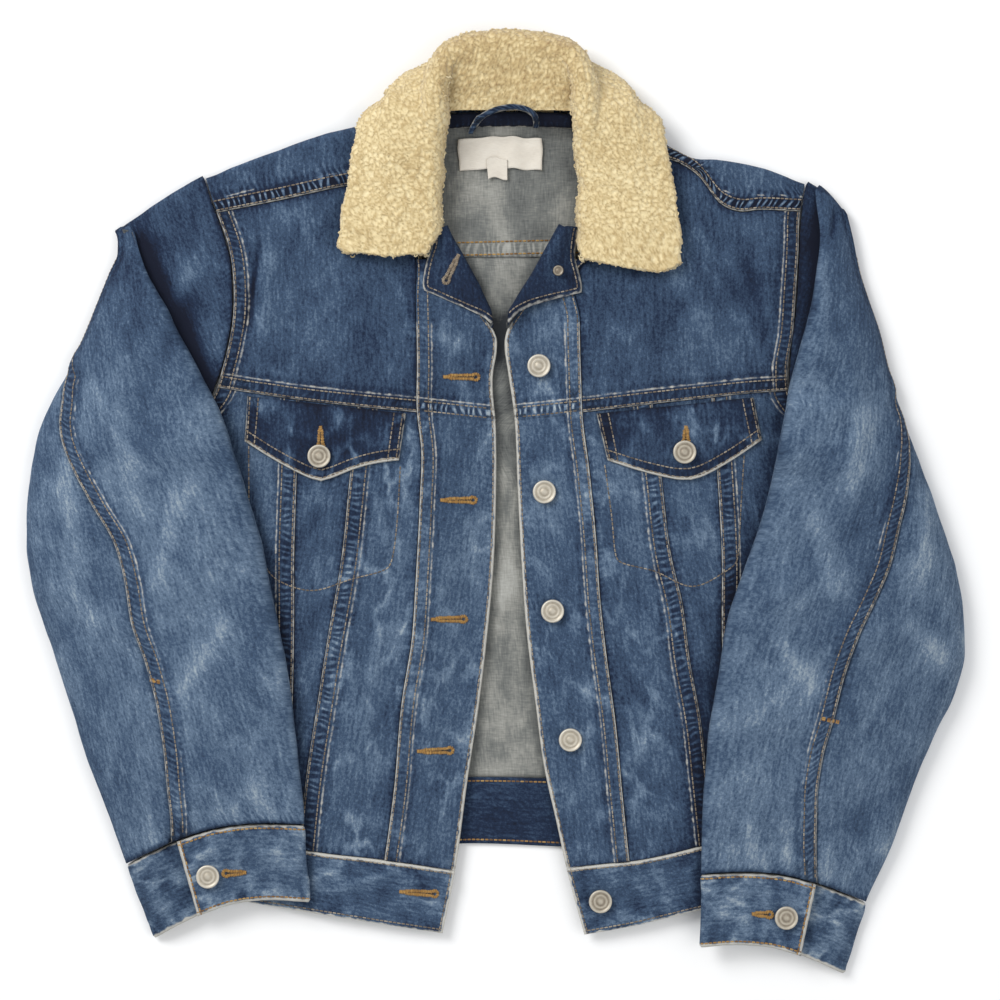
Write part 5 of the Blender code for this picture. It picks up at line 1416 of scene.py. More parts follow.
@dataclass
class Back:
    """Back panel, hem band and yoke, with what is sewn inside the neck."""

    cloths: dict[str, Cloth] = field(default_factory=dict)
    loft: float = 1.6          # soft waves of the panel that shows between the fronts

    def cut(self) -> None:
        """Cut the back flat on the floor, and its yoke over both shoulders."""
        right, left = seam(OUTER[R]), seam(OUTER[L])
        x, y = between(right, left, seam(BACK_BAND_TOP), level(BACK_YOKE_SEAM),
                       spread(450, 4.2, (), ()), spread(400, 4.2, (), ()))
        middle = np.exp(-((x - 14) / 60) ** 2) * step((y + 195) / 30) * step((185 - y) / 30)
        z = self.loft * middle * (1 + waves(x, y, 60.0, 3, 1.8)) * 0.6
        self.add("back_panel", np.stack([x, y, np.maximum(z, 0)], axis=-1), DENIM,
                 {"south": Border.PLAIN}, flip=True, tone=0.68, ruffle=0.0)
        shadow = np.zeros(x.shape)
        for side in Side:
            away = (x - seam(EDGE[side])(y)) * side.inward
            shadow += np.exp(-np.maximum(away, 0) / 8.0) * (step((200 - y) / 40)
                                                            + 0.8 * step((y - 112) / 16))
        # painted light and shade of soft folds: lighter and darker patches in the panel's tone
        fold_shade_patches = waves(x, y, 40.0, 33, 2.5) + 0.8 * waves(x, y, 13.0, 35, 2.0)
        self.cloths["back_panel"].tones -= 0.36 * shadow - 0.10 * fold_shade_patches
        x, y = between(right, left, seam(BACK_BAND_HEM), seam(BACK_BAND_TOP),
                       spread(450, 4.2, (), ()), spread(48, 4.0, (), ()))
        self.add("hem_band_back", np.stack([x, y, np.zeros_like(x)], axis=-1), BAND,
                 {"north": Border.PLAIN}, inside_out=True, flip=True, tone=0.25, ruffle=0.0,
                 sideways=True)
        self.cut_yoke()

    def add(self, name: str, points: Array, wall: float, borders: dict[str, Border],
            **more: object) -> None:
        """Keep one cloth under its plain name."""
        self.cloths[name] = Cloth(f"{name}_cloth", points, wall, borders, folds=False, **more)

    def cut_yoke(self) -> None:
        """The yoke's rows run up the floor, round the shoulder's fold and down to its seam.

        A column is a share across the right wing (0 to 1), the neck (to 2) or the left wing;
        the fold is half a circle between the floor and the front's upper side.
        """
        share = np.concatenate([even(36), 1 + even(28)[1:], 2 + even(36)[1:]])
        rise = np.concatenate([[-0.07, -0.05, -0.02, 0.006], 0.03 + even(17) * 0.758,
                               0.788 + 0.212 * even(14)[1:]])
        turns, top = np.linspace(0, math.pi, 11)[1:], 10
        rows = len(rise) + len(turns) + top
        neck_right, neck_left = COLLAR_MIDDLE - NECK_HALF, COLLAR_MIDDLE + NECK_HALF
        is_left = share > 1.5
        neck = (share > 1 + 1e-6) & (share < 2 - 1e-6)
        number = np.arange(rows)[:, None]
        turn = np.concatenate([np.zeros(len(rise)), turns, np.full(top, math.pi)])[:, None]
        climb = np.concatenate([rise, np.ones(rows - len(rise))])[:, None]
        part = np.clip((number - len(rise) - len(turns) + 1) / top, 0, 1)
        y = np.full((rows, len(share)), 200.0)
        for _ in range(16):
            outer_right = seam(OUTER[R])(y) + GAP / 2
            outer_left = seam(OUTER[L])(y) - GAP / 2
            x = np.where(share <= 1, outer_right + (neck_right - outer_right) * share,
                         np.where(share >= 2, neck_left + (outer_left - neck_left) * (share - 2),
                                  neck_right + (neck_left - neck_right) * (share - 1)))
            fold = np.where(is_left, seam(SHOULDER_TOP[L])(x), seam(SHOULDER_TOP[R])(x))
            fold = np.where(neck, seam(BACK_NECK)(x) - GAP, fold)
            high, low = front_under(x, fold - 4) + DENIM, neck_lift(x, fold - 4)
            radius = np.where(neck, 0.0, (high - low) / 2)
            end = fold - radius
            stop = np.where(is_left, seam(SHOULDER_SEAM[L])(x), seam(SHOULDER_SEAM[R])(x)) + GAP
            flat_y = BACK_YOKE_SEAM + GAP / 2 + (end - BACK_YOKE_SEAM - GAP / 2) * climb
            y = np.where(number < len(rise), flat_y,
                         np.where(part > 0, end + (stop - end) * part,
                                  end + radius * np.sin(turn)))
        felled = (DENIM + LIE) * step((BACK_YOKE_SEAM + 2.5 - y) / 2.5)
        z = np.where(number < len(rise), neck_lift(x, y) + felled,
                     np.where(part > 0, front_under(x, y) + DENIM,
                              low + radius * (1 - np.cos(turn))))
        mask = np.ones((rows - 1, len(share) - 1), bool)
        mask[len(rise) - 1:, 36:64] = False
        self.add("back_yoke", np.stack([x, y, z], axis=-1), DENIM,
                 {"north": Border.LAP}, mask=mask, flip=True, tone=0.42, lap=10.0, ruffle=0.2,
                 fray=0.2, bars=2.2, strip_shade=0.30, warp=level(0.0))
        inside = self.cloths["back_yoke"]
        # painted shade under the collar: the yoke's inside darker towards both sides of the neck and
        # towards the neck seam
        away = NECK_HALF - 22 - np.abs(x - COLLAR_MIDDLE)
        dark = np.exp(-np.maximum(away, 0) / 12.0) + 0.6 * np.exp(-np.maximum(278 - y, 0) / 7.0)
        floor = (number < len(rise)) & (np.abs(x - COLLAR_MIDDLE) < NECK_HALF)
        inside.tones -= np.where(floor, 0.28 * np.minimum(dark, 1.3), 0.0)
        # lighter and darker waves: painted shade of the wrinkles inside the yoke
        inside.tones += np.where(floor, 0.10 * waves(x, y, 34.0, 34, 2.0), 0.0)
        band = step((BACK_YOKE_SEAM + 5.5 - y) / 1.5) * (number < len(rise))
        inside.tones += 0.13 * band
        inside.rope[..., 0] = np.where(band > 0, x, inside.rope[..., 0])
        inside.rope[..., 2] = np.where(band > 0, 0.45 * band, inside.rope[..., 2])

    def sew(self, sewing: "Sewing") -> None:
        """Sew the shoulder seams and, inside, the yoke seam and the hem band."""
        yoke = self.cloths["back_yoke"]
        for distance in (1.6, 8.6):
            line, normal = yoke.line("north", distance)
            for here in (line[:, 0] < COLLAR_MIDDLE - NECK_HALF - 1,
                         line[:, 0] > COLLAR_MIDDLE + NECK_HALF + 1):
                sewing.run(line[here], normal[here])
        inside = Landing([self.cloths["back_panel"], yoke], DENIM)
        band = Landing([self.cloths["hem_band_back"]], BAND)
        x = np.linspace(-60, 84, 90)
        for y in (181.2, 190.6):
            line, _ = inside.line(np.column_stack([x, y + 1.2 * np.sin(x / 45)]))
            sewing.run(line, np.tile(UP, (len(line), 1)), Thread.OCHRE)
        x = np.linspace(-40, 70, 70)
        for curve, rise in ((seam(BACK_BAND_TOP), -3.0), (seam(BACK_BAND_HEM), 3.0)):
            line, _ = band.line(np.column_stack([x, curve(x) + rise]))
            sewing.run(line, np.tile(UP, (len(line), 1)), Thread.OCHRE)

    def make(self, wardrobe: Wardrobe) -> None:
        """Build the back's cloths."""
        for name, cloth in self.cloths.items():
            slot = "denim_reverse" if name == "back_panel" else "denim"
            lay_sheet(cloth, wardrobe, slot)


# ================================================================ sleeves and cuffs
@dataclass
class Sleeve:
    """One sleeve laid flat beside the body: its top cloth with the pleat, its under cloth, cuff.

    A section is named by its row in the table; its points by a share: 0 to 1 over the top from
    the inner to the outer edge, to 1.2 round the outer edge, to 2.2 back along the floor.
    """

    side: Side
    cloths: dict[str, Cloth] = field(default_factory=dict)

    def row(self, row: Array) -> Array:
        """The table's values between its rows."""
        return through(numbered(SLEEVE[self.side]), row)

    def bow(self, row: Array, part: Array) -> Array:
        """Rise of a section near the cuff over its chord: half a sine of the part."""
        return SLEEVE_BOW[self.side] * step((row - 10.6) / 2.4) * np.sin(math.pi * part)

    def arm_room(self, row: Array) -> Array:
        """Room between the sleeve and the armhole's curve, wider where the curve turns in."""
        return ARM_ROOM + PIT_ROOM * step((row - 3.2) / 1.2)

    def pit_share(self, row: Array) -> Array:
        """Place of the underarm seam on a section's chord, from the inner edge."""
        v = self.row(row)
        return np.hypot(v[..., 2] - v[..., 4], v[..., 3] - v[..., 5]) \
            / np.hypot(v[..., 6] - v[..., 4], v[..., 7] - v[..., 5])

    def low_bow(self, row: Array, part: Array) -> Array:
        """Rise of the under side, part from the outer edge to the underarm seam."""
        end = self.pit_share(row)
        return self.bow(row, 1 - part * (1 - end)) - self.bow(row, end) * part

    def head_height(self, row: Array, distance: Array) -> Array:
        """Height of the head's cloth at a distance from the valley of the pleat."""
        start, _, length = self.head_ends(row)
        start_z = front_under(start[..., 0] + self.side.inward * 3, start[..., 1]) + DENIM
        part = 1 - np.clip(distance / length, 0, 1)
        bulge = HEAD_BULGE * np.sin(math.pi * part) * step(length / 50)
        return VALLEY + (start_z - VALLEY) * (1 - part) + bulge

    def head_ends(self, row: Array) -> tuple[Array, Array, Array]:
        """The head's cloth at one section: armhole end, valley end and length between them."""
        v = self.row(row)
        x = seam(OUTER[self.side])(v[..., 1]) - self.side.inward * self.arm_room(row)
        start, stop = np.stack([x, v[..., 1]], axis=-1), v[..., 2:4]
        return start, stop, np.maximum(np.linalg.norm(stop - start, axis=-1), 1.0)

    def on_under(self, z: Array, x: Array, y: Array) -> Array:
        """Height z, or more where the under sleeve climbs on to the body."""
        return np.maximum(z, sleeve_floor(self.side, x, y) + 2 * DENIM + PIT_ROOM)

    def tuck_height(self, row: Array, x: Array, y: Array) -> Array:
        """Under side between the valley, or the underarm seam, and the inner edge."""
        floor = sleeve_floor(self.side, x, y)
        _, stop, _ = self.head_ends(row)
        distance = np.hypot(x - stop[..., 0], y - stop[..., 1])
        head = self.on_under(self.head_height(row, distance), x, y) + TUCK_ROOM
        lifted = np.maximum(floor, head * step((PIT_ROW + 1 - row) / 0.9))
        return np.where(row >= PIT_ROW + 1, floor, lifted)

    def inner_height(self, row: Array) -> Array:
        """Height of the sleeve's inner edge."""
        v = self.row(row)
        return self.tuck_height(row, v[..., 4], v[..., 5]) + 1.6 + 3.9 * step(row / 1.6)

    def under_end(self, row: Array) -> tuple[Array, Array]:
        """Where the under sleeve ends: the back armhole, then the underarm seam."""
        v, inward = self.row(row), self.side.inward
        armhole = seam(OUTER[self.side])(v[..., 1]) - inward * self.arm_room(row)
        return (np.where(row < PIT_ROW, armhole, v[..., 2] - inward * GAP * 1.5),
                np.where(row < PIT_ROW, v[..., 1], v[..., 3]))

    def round_part(self, row: Array) -> Array:
        """How much of the under side the outer edge's round takes."""
        v, (end_x, end_y) = self.row(row), self.under_end(row)
        return np.minimum(0.45, WRAP / np.hypot(end_x - v[..., 6], end_y - v[..., 7]))

    def section(self, row: Array, share: Array) -> Array:
        """Points of sections, from rows and shares of one shape."""
        row, share = np.broadcast_arrays(np.asarray(row, float), np.asarray(share, float))
        in_x, in_y, out_x, out_y, crest = np.moveaxis(self.row(row)[..., 4:9], -1, 0)
        inner_z = self.inner_height(row)
        top = np.clip(share, 0, 1)
        turn = math.pi * top
        arch = np.clip(np.sin(turn), 0, 1)
        flat = step((NARROW - np.hypot(out_x - in_x, out_y - in_y)) / 25)
        way = (1 - np.cos(turn)) / 2 * (1 - flat) + top * flat
        x, y = in_x + (out_x - in_x) * way, in_y + (out_y - in_y) * way + self.bow(row, way)
        z = inner_z + (EDGE_HEIGHT - inner_z) * way + crest * arch ** 0.85
        z = z + ridges(x, y, CREASES) * arch ** 0.5
        end_x, end_y = self.under_end(row)
        wrapped = self.round_part(row)
        turn = np.clip((share - 1) / 0.2, 0, 1) * math.pi / 2
        part = wrapped * (1 - np.cos(turn)) + np.maximum(share - 1.2, 0) * (1 - wrapped)
        low_x = out_x + (end_x - out_x) * part
        low_y = out_y + (end_y - out_y) * part + self.low_bow(row, part)
        low_z = np.maximum(EDGE_HEIGHT * (1 - np.sin(turn)), sleeve_floor(self.side, low_x, low_y))
        over = share <= 1
        return np.stack([np.where(over, x, low_x), np.where(over, y, low_y),
                         np.where(over, z, low_z)], axis=-1)

    def elbow(self, row: Array) -> Array:
        """Where the elbow seam runs on a section."""
        return np.minimum(self.row(row)[..., 9], SEAM_END)

    def cut(self) -> None:
        """Cut the top cloth, the under cloth and the cuff."""
        self.cut_upper()
        self.cut_under()
        self.cut_cuff()

    def cut_upper(self) -> None:
        """Head, pleat and the tube's top out to the elbow seam, on one grid of sections."""
        crown, head = 3, 5
        rows = np.array([0.0] * crown + HEAD_STATIONS + SLEEVE_STATIONS)[:, None]
        sweep = np.array([0.0, 0.08, 0.19, 0.31, 0.44, 0.57, 0.7, 0.82, 0.91, 1.0])
        cut = self.elbow(rows)
        late = np.where(sweep <= 0.82, sweep / 0.82 * 0.97,
                        0.97 + (cut - 0.97) * (sweep - 0.82) / 0.18)
        top = self.section(rows, np.where(cut <= 1, sweep * cut, late))
        points = np.concatenate([self.head(rows, head), self.tuck(rows), top], axis=1)
        points[:crown, :head] = self.crown(points[crown, :head])
        self.close_crown(points, crown, head)
        left_out = np.zeros((len(rows) - 1, points.shape[1] - 1))
        left_out[crown + len(HEAD_STATIONS) - 1:, :head] = 1
        left_out[:crown - 2, head - 1:] = 1
        left_out[crown - 2:crown, head - 1:head + 5] = 1
        borders = {"east": Border.LAP, "west": Border.UNDER, "north": Border.UNDER}
        cloth, row, column = self.place("sleeve_upper", points, rows[:, 0], left_out, borders)
        cloth.rim += 5 * step((self.elbow(row) - 0.99) / 0.05)[:, None]
        self.shade_pleat(cloth, row, int(np.searchsorted(column[1], column[0][head - 1])))

    def close_crown(self, points: Array, crown: int, head: int) -> None:
        """Bend two rows of the top cloth down to the floor behind its first section.

        Args:
            points: the coarse grid, whose rows before the first section are set.
            crown: number of the first section's row.
            head: number of the first column behind the head's cloth.
        """
        outward = points[1, head - 1, :2] - points[crown, head - 1, :2]
        outward /= np.hypot(*outward)
        part = np.clip(np.linspace(0, 1.17, points.shape[1] - head), 0, 1)
        start, stop, bulge = CROWN_REACH[self.side]
        reach = start + (stop - start) * part + bulge * np.sin(math.pi * part)
        for line, (share, height) in enumerate(((1.0, 0.2), (0.75, 0.7)), crown - 2):
            end = points[crown, head:].copy()
            end[:, :2] += outward * (reach * share)[:, None]
            end[:, 2] = 3.0 + height * (end[:, 2] - 3.0)
            end[:5] = end[5]
            points[line, head:] = end

    def shade_pleat(self, cloth: Cloth, row: Array, valley: int) -> None:
        """Darken the cloth in the pleat under the head, less towards both its ends.

        Args:
            cloth: the top cloth.
            row: the table's row of each of its rows.
            valley: its column at the pleat's valley.
        """
        depth = cloth.across[:, valley:valley + 1] - cloth.across
        v = self.row(row)
        overlap = np.hypot(v[:, 2] - v[:, 4], v[:, 3] - v[:, 5])[:, None]
        away = np.maximum(depth - overlap - 3.0, 0)
        shadow = np.exp(-away / PLEAT_SHADE[self.side]) * (depth > -overlap)
        fade = step(PIT_ROW + 0.2 - row) * (0.25 + 0.75 * step((row - 0.1) / 0.8))
        cloth.tones -= 0.60 * shadow * fade[:, None]

    def place(self, name: str, points: Array, rows: Array, left_out: Array,
              borders: dict[str, Border], spacing: float = 2.7) -> tuple[Cloth, Array, list[Array]]:
        """Make the coarse grid dense, carry over what is left out, and keep the cloth.

        Args:
            name: the cloth's plain name.
            points: the coarse grid.
            rows: the table's row of each coarse row.
            left_out: 1 for each coarse cell that the cloth doesn't have.
            borders: what happens at the borders.
            spacing: distance between the dense rows and columns.

        Returns:
            The cloth, the table's row of each of its rows, and the coarse and dense columns'
            places across it.
        """
        knots = [np.mean(along(points, axis), axis=1 - axis) for axis in (0, 1)]
        at = [np.unique(np.concatenate([k, np.linspace(0, k[-1], int(k[-1] / spacing))]))
              for k in knots]
        at = [a[np.concatenate([[True], np.diff(a) > 0.35])] for a in at]
        dense = keep_shape(knots[0], points, at[0])
        dense = np.moveaxis(keep_shape(knots[1], np.moveaxis(dense, 1, 0), at[1]), 0, 1)
        dense[..., 2] = np.maximum(dense[..., 2], 0)
        cell = [np.clip(np.searchsorted(k, (a[1:] + a[:-1]) / 2) - 1, 0, len(k) - 2)
                for k, a in zip(knots, at)]
        mask = left_out[cell[0][:, None], cell[1][None, :]] == 0
        cloth = Cloth(f"{name}_{self.side.value}_cloth", dense, DENIM, borders, lap=11.0,
                      tone=0.53, flip=self.side is L, mask=mask, ruffle=0.5, fray=0.3, bars=0.6,
                      warp=seam(SLEEVE_WARP[self.side]), inward=self.side.inward)
        cloth.tones += 0.04 - 0.16 * step((dense[..., 1] - 60) / 80)
        self.cloths[name] = cloth
        return cloth, np.interp(at[0], knots[0], rows), [knots[1], at[1]]

    def head(self, rows: Array, count: int) -> Array:
        """The head's cloth from the armhole seam into the valley of the pleat."""
        start, stop, length = self.head_ends(rows)
        part = np.linspace(0, 1, count)[None, :]
        plan = start + (stop - start) * part[..., None]
        z = self.head_height(rows, length * (1 - part))
        inside = (part > 0) & (part < 1)
        z = z + np.where(inside, ridges(plan[..., 0], plan[..., 1], CREASES) * 0.4, 0)
        z = z + np.where(part == 1, TUCK_ROOM / 2, 0)
        z = self.on_under(z, plan[..., 0], plan[..., 1])
        return np.concatenate([plan, z[..., None]], axis=-1)

    def tuck(self, rows: Array) -> Array:
        """From the valley, or the underarm seam, back to just under the inner edge."""
        v, inward = self.row(rows), self.side.inward
        first = np.where(rows >= PIT_ROW, 1.5, 0.2)
        start = np.stack([v[..., 2] + inward * first, v[..., 3]], axis=-1)
        stop = v[..., 4:6]
        length = np.linalg.norm(stop - start, axis=-1)
        wrap = np.minimum(WRAP, 0.6 * length) / np.maximum(length, 1e-6)
        part = (1 - wrap) * np.array([0.0, 0.3, 0.6, 1.0, 1.0])
        part[:, -1] += 0.7 * wrap[:, 0]
        part[:, 1] = np.where(rows[:, 0] < PIT_ROW, 0.0, part[:, 1])
        plan = start + (stop - start) * part[..., None]
        end = self.pit_share(rows)
        rise = self.bow(rows, end * (1 - part)) - self.bow(rows, end) * (1 - part)
        plan[..., 1] += np.where(rows > PIT_ROW, rise, 0.0)
        low = self.tuck_height(rows, plan[..., 0], plan[..., 1])
        low[:, -1] += 0.29 * (self.inner_height(rows)[:, 0] - low[:, -1])
        pleat = rows[:, 0] < PIT_ROW
        plan[:, 0, 0] -= np.where(pleat, inward * FOLD_ROUND, 0.0)
        low[:, 0] -= np.where(pleat, TUCK_ROOM / 4, 0.0)
        return np.concatenate([plan, low[..., None]], axis=-1)

    def crown(self, edge: Array) -> Array:
        """Three rows that carry the head's cloth round the crown's fold to the floor."""
        run = edge[-1] - edge[0]
        outward = np.array([-run[1], run[0]]) * (1 if run[0] > 0 else -1)
        outward /= np.hypot(*outward)
        half = edge[:, 2] / 2
        turn = np.array([1.0, 0.62, 0.3])[:, None] * math.pi
        reach = half * np.sin(turn)
        reach[0] -= WRAP * 0.7 * np.linspace(1, 0, len(half))
        plan = edge[None, :, :2] + outward * reach[..., None]
        limit = seam(OUTER[self.side])(plan[..., 1])
        inward = self.side.inward
        plan[..., 0] = inward * np.minimum(inward * plan[..., 0], inward * limit - ARM_ROOM)
        return np.concatenate([plan, (half * (1 + np.cos(turn)))[..., None]], axis=-1)

    def cut_under(self) -> None:
        """Round the outer edge from the elbow seam and back along the floor."""
        rows = np.array(HEAD_STATIONS[1:] + SLEEVE_STATIONS)[:, None]
        first = self.elbow(rows) + 0.012
        ahead = np.linspace(0, 1, 11)[None, :-1]
        shares = np.concatenate([first - 0.022, first - 0.008, first + (1.3 - first) * ahead,
                                 1.3 + 0.9 * even(6)[None, :] + 0 * rows], axis=1)
        points = self.section(rows, shares)
        outward = normals_of(points)[:, :2] * (-1 if self.side is L else 1)
        points[:, :2] -= outward * (DENIM + GAP)
        self.place("sleeve_under", points, rows[:, 0], np.zeros((len(rows) - 1, 18)),
                   {"west": Border.UNDER, "north": Border.UNDER}, 4.2)

    def cut_cuff(self) -> None:
        """A band round the wrist whose buttoned end lies over the other."""
        rows = np.stack([self.cuff_row(np.array(inner, float), np.array(outer, float))
                         for inner, outer in CUFF[self.side]])
        coarse = np.stack([rows[0], rows.mean(axis=0), rows[1]])
        self.cloths["cuff"] = Cloth(
            f"cuff_{self.side.value}_cloth", denser(coarse, 1.7), BAND,
            {"west": Border.FOLD, "south": Border.FOLD, "north": Border.FOLD}, tone=0.52,
            sideways=True, flip=self.side is R, ruffle=0.5, fray=0.4, pucker=1.6, bars=0.15,
            wear=0.3, frays={"west": -1.0, "north": -0.9, "south": -0.3})

    def cuff_row(self, inner: Array, outer: Array) -> Array:
        """One section of a cuff, from its lap round the wrist and back under the lap."""
        lap, side = CUFF_LAP[self.side], self.side
        edge = float(sleeve_floor(side, inner[0], inner[1])) + 6.0
        path = [(part, max(height, edge + (1.5 if part > 0.1 else 3.5))) for part, height in
                ((lap, 15.8), (lap * 0.68, 16.8), (lap * 0.36, 17.2), (0.055, 15.6))]
        path.append((0.0, edge))
        share = np.linspace(0, 1, 201)
        line = inner + (outer - inner) * share[:, None]
        out = (seam(OUTER[side])(line[:, 1]) - line[:, 0]) * side.inward
        beside = float(share[np.argmax(out > 1.2)])
        for part in (0.06, beside * 0.5, beside, beside + SLOPE / 130, 0.93):
            x, y = inner + (outer - inner) * part
            path.append((part, float(sleeve_floor(side, x, y)) if part <= beside else 0.0))
        path += [(1.0, 5.0), (0.95, 10.2), (0.5 + lap / 2, 12.6), (lap, 13.2), (lap - 0.05, 13.4)]
        part, height = np.array(path).T
        plan = inner + (outer - inner) * part[:, None]
        plan[:, 1] += SLEEVE_BOW[side] * np.sin(math.pi * part)
        return np.column_stack([plan, height])

    def sew(self, sewing: "Sewing") -> None:
        """Topstitch the elbow seam twice and the cuff all round."""
        upper, cuff = self.cloths["sleeve_upper"], self.cloths["cuff"]
        for distance in (1.5, 9.4):
            sewing.run(*upper.line("east", distance, 0.12, 0.995))
        for border, stop in (("west", 1.0), ("south", 0.42), ("north", 0.42)):
            sewing.run(*cuff.line(border, 2.8, 0.0, stop), Thread.OCHRE)

    def make(self, wardrobe: Wardrobe) -> None:
        """Build the sleeve's cloths."""
        for cloth in self.cloths.values():
            lay_sheet(cloth, wardrobe, "denim")


# ================================================================ the collar
@dataclass
class Collar:
    """Sherpa collar: a stand, a roll and a fall, and the denim collar under it."""

    spacing: float = 0.95
    pile: float = 1.6          # height of a curl over its hollow
    curl: float = 3.7          # size of a curl
    knit: float = 1.25         # the pile's knitted back is this much larger than its lie
    cloths: dict[str, Cloth] = field(default_factory=dict)

    def face(self, rows: Array, depth: Array, reach: float = 0.0) -> Array:
        """The collar's points at a depth under the fleece's outer face.

        A section runs up the stand's face, over half a circle of the roll and out along the
        fall. Rows under 0 mirror it, so 0 is at a front end and 7 in the back's middle.

        Args:
            rows: place of each section, negative on the wearer's left.
            depth: depth of each section under the outer face.
            reach: how far the fall's edge and the neck edge turn round under the pile.

        Returns:
            Points [section, point, xyz].
        """
        v = through(numbered(COLLAR), np.abs(rows) - 1e-6)
        (neck_d, neck_y, mid_d, mid_y, mid_z, fall_d, fall_y, fall_z,
         edge_d, edge_y, edge_z) = np.moveaxis(v[..., :11], -1, 0)
        plan, turn = np.radians(v[..., 11]), np.radians(v[..., 12])
        out = np.stack([np.sin(plan), np.cos(plan), 0 * plan], axis=-1)
        depth = np.broadcast_to(np.asarray(depth, float), rows.shape)[:, None]

        def towards(angle: Array) -> Array:
            """Direction in the section's own plane."""
            return out * np.cos(angle)[:, None] + UP * np.sin(angle)[:, None]

        face = towards(turn)
        seam_z = NECK_SEAM_Z + 1.8 * step((np.abs(rows) - 0.5) / 2.5)
        neck = np.stack([neck_d, neck_y, seam_z + COLLAR_WALL * face[:, 2]], axis=-1)
        neck = neck - face * depth
        centre = np.stack([mid_d, mid_y, mid_z], axis=-1)
        arc = [centre + (COLLAR_ROLL - depth) * towards(turn - angle)
               for angle in np.linspace(0, math.pi, 9)]
        fall = np.stack([fall_d, fall_y, fall_z], axis=-1)
        edge = np.stack([edge_d, edge_y, edge_z], axis=-1)
        run = unit(edge - (centre - COLLAR_ROLL * face))
        normal = unit(-face + run * np.sum(face * run, axis=1, keepdims=True))
        fall, edge = fall - depth * normal, edge - depth * normal
        path = [neck, 0.5 * (neck + arc[0]), *arc, 0.5 * (arc[-1] + fall), fall,
                0.5 * (fall + edge), edge - run * 0.2 * reach]
        if reach:
            path += [edge + run * 0.12 * reach - normal * 0.35 * reach,
                     edge - run * 0.1 * reach - normal * 0.85 * reach,
                     edge - run * reach - normal * reach]
        points = np.stack(path, axis=1)
        points[..., 2] = np.maximum(points[..., 2], 0.15 + depth * 0.2)
        points[..., 0] = COLLAR_MIDDLE + points[..., 0] * np.where(rows < 0, 1, -1)[:, None]
        return points

    def cut(self) -> None:
        """Cut the denim collar and grow the fleece's curls."""
        half = even(42) * 7.0
        rows = np.concatenate([half + 1e-9, -half[-2::-1] - 1e-9])
        under = self.trim(denser(self.face(rows, SHERPA + GAP), 3.0, rows=False))
        self.cloths["under_collar"] = Cloth(
            "under_collar_cloth", under, DENIM,
            {"east": Border.FOLD, "south": Border.FOLD, "north": Border.FOLD}, tone=0.30,
            ruffle=0.1, folds=False, fray=1.2)
        ends = np.full(3, 1e-6)
        depth = np.array([SHERPA, SHERPA * 0.8, SHERPA * 0.3])
        rows = np.concatenate([ends, half + 1e-6, -half[-2::-1] - 1e-6, -ends])
        depth = np.concatenate([depth, np.zeros(2 * len(half) - 1), depth[::-1]])
        grid = self.face(rows, depth, SHERPA)
        outward = np.array([-3.0, -0.3, 0.9])[:, None]
        grid[:3, :, 1] -= outward
        grid[-3:, :, 1] -= outward[::-1]
        self.smooth = self.trim(denser(grid, self.spacing))
        self.fleece = self.grow(self.smooth)

    def trim(self, grid: Array) -> Array:
        """Cut the two front ends as they lie: one slants up to its outer corner, one down."""
        x, y = grid[..., 0] - COLLAR_MIDDLE, grid[..., 1]
        start, slope, rise, shift, reach, least, lean = (
            np.where(x < 0, *ends) for ends in zip(COLLAR_END[R], COLLAR_END[L]))
        out = np.clip((np.abs(x) - 62) / 58, 0, 1)
        near = 1 - step((y - 178) / 26)
        slant = start + slope * out + rise * np.clip((x - 106) / 26, 0, 1) ** 2
        grid[..., 1] += slant * near
        corner = (1 - step((y - 178) / reach)) * out ** 4
        inner = near * (1 - step((np.abs(x) - 62) / 30))
        grid[..., 0] -= shift * corner + 5.5 * inner
        low = np.maximum(197 - grid[..., 1], 0)
        least = (least + lean * low) * (low > 0)
        away = np.maximum(np.abs(grid[..., 0] - COLLAR_MIDDLE), least)
        grid[..., 0] = COLLAR_MIDDLE + np.sign(x) * away
        return grid

    def grow(self, smooth: Array) -> tuple[Array, Array]:
        """Raise the pile: round curls of two sizes on a shaken lattice, pushed about by waves.

        Returns:
            The points, and a tone that is 0 in the hollows and 1 on the tops, which paints shade
            between the curls.
        """
        normal = normals_of(smooth)
        x, y, z = np.moveaxis(smooth, -1, 0)
        bend = [0.9 * waves(x + z, y, 9.0, seed) for seed in (21, 22, 24)]
        near, own = curls(x + bend[0], y + bend[1], z + bend[2], self.curl, 3.0)
        fine, _ = curls(x + bend[1] + 40.0, y, z, self.curl * 0.5, 9.0)
        big = np.sqrt(np.clip(near / 0.42, 0, 1))
        small = np.sqrt(np.clip(fine / 0.45, 0, 1))
        height = self.pile * (big * (0.75 + 0.45 * own) + 0.3 * small) - 1.2
        height += 0.7 * waves(x, y, 26.0, 23)
        # painted shade: darker where the curls meet, over the pile's yellower ground
        tone = 0.10 + 0.52 * big * (0.85 + 0.3 * own) + 0.16 * small
        tone -= 0.14 * step((y - 284) / 18) * step((62 - np.abs(x - COLLAR_MIDDLE)) / 14)
        raised = smooth + normal * height[..., None]
        raised[..., 2] = np.maximum(raised[..., 2], PILE_FLOOR)
        return raised, tone

    def make(self, wardrobe: Wardrobe) -> None:
        """Build the fleece, its loose curls and the denim collar."""
        points, tone = self.fleece
        faces = quads(*points.shape[:2])[..., [0, 3, 2, 1]].reshape(-1, 4)
        across, up = along(self.smooth, 1), along(self.smooth, 0)
        piece = new_piece("sherpa_collar", points.reshape(-1, 3), faces, {"tone": tone.reshape(-1)},
                          [wardrobe.fleece], np.stack([across, up], axis=-1).reshape(-1, 2))
        dress(piece, "sherpa", "collar_fleece")
        self.make_curls(wardrobe)
        lay_sheet(self.cloths["under_collar"], wardrobe, "denim_dark")

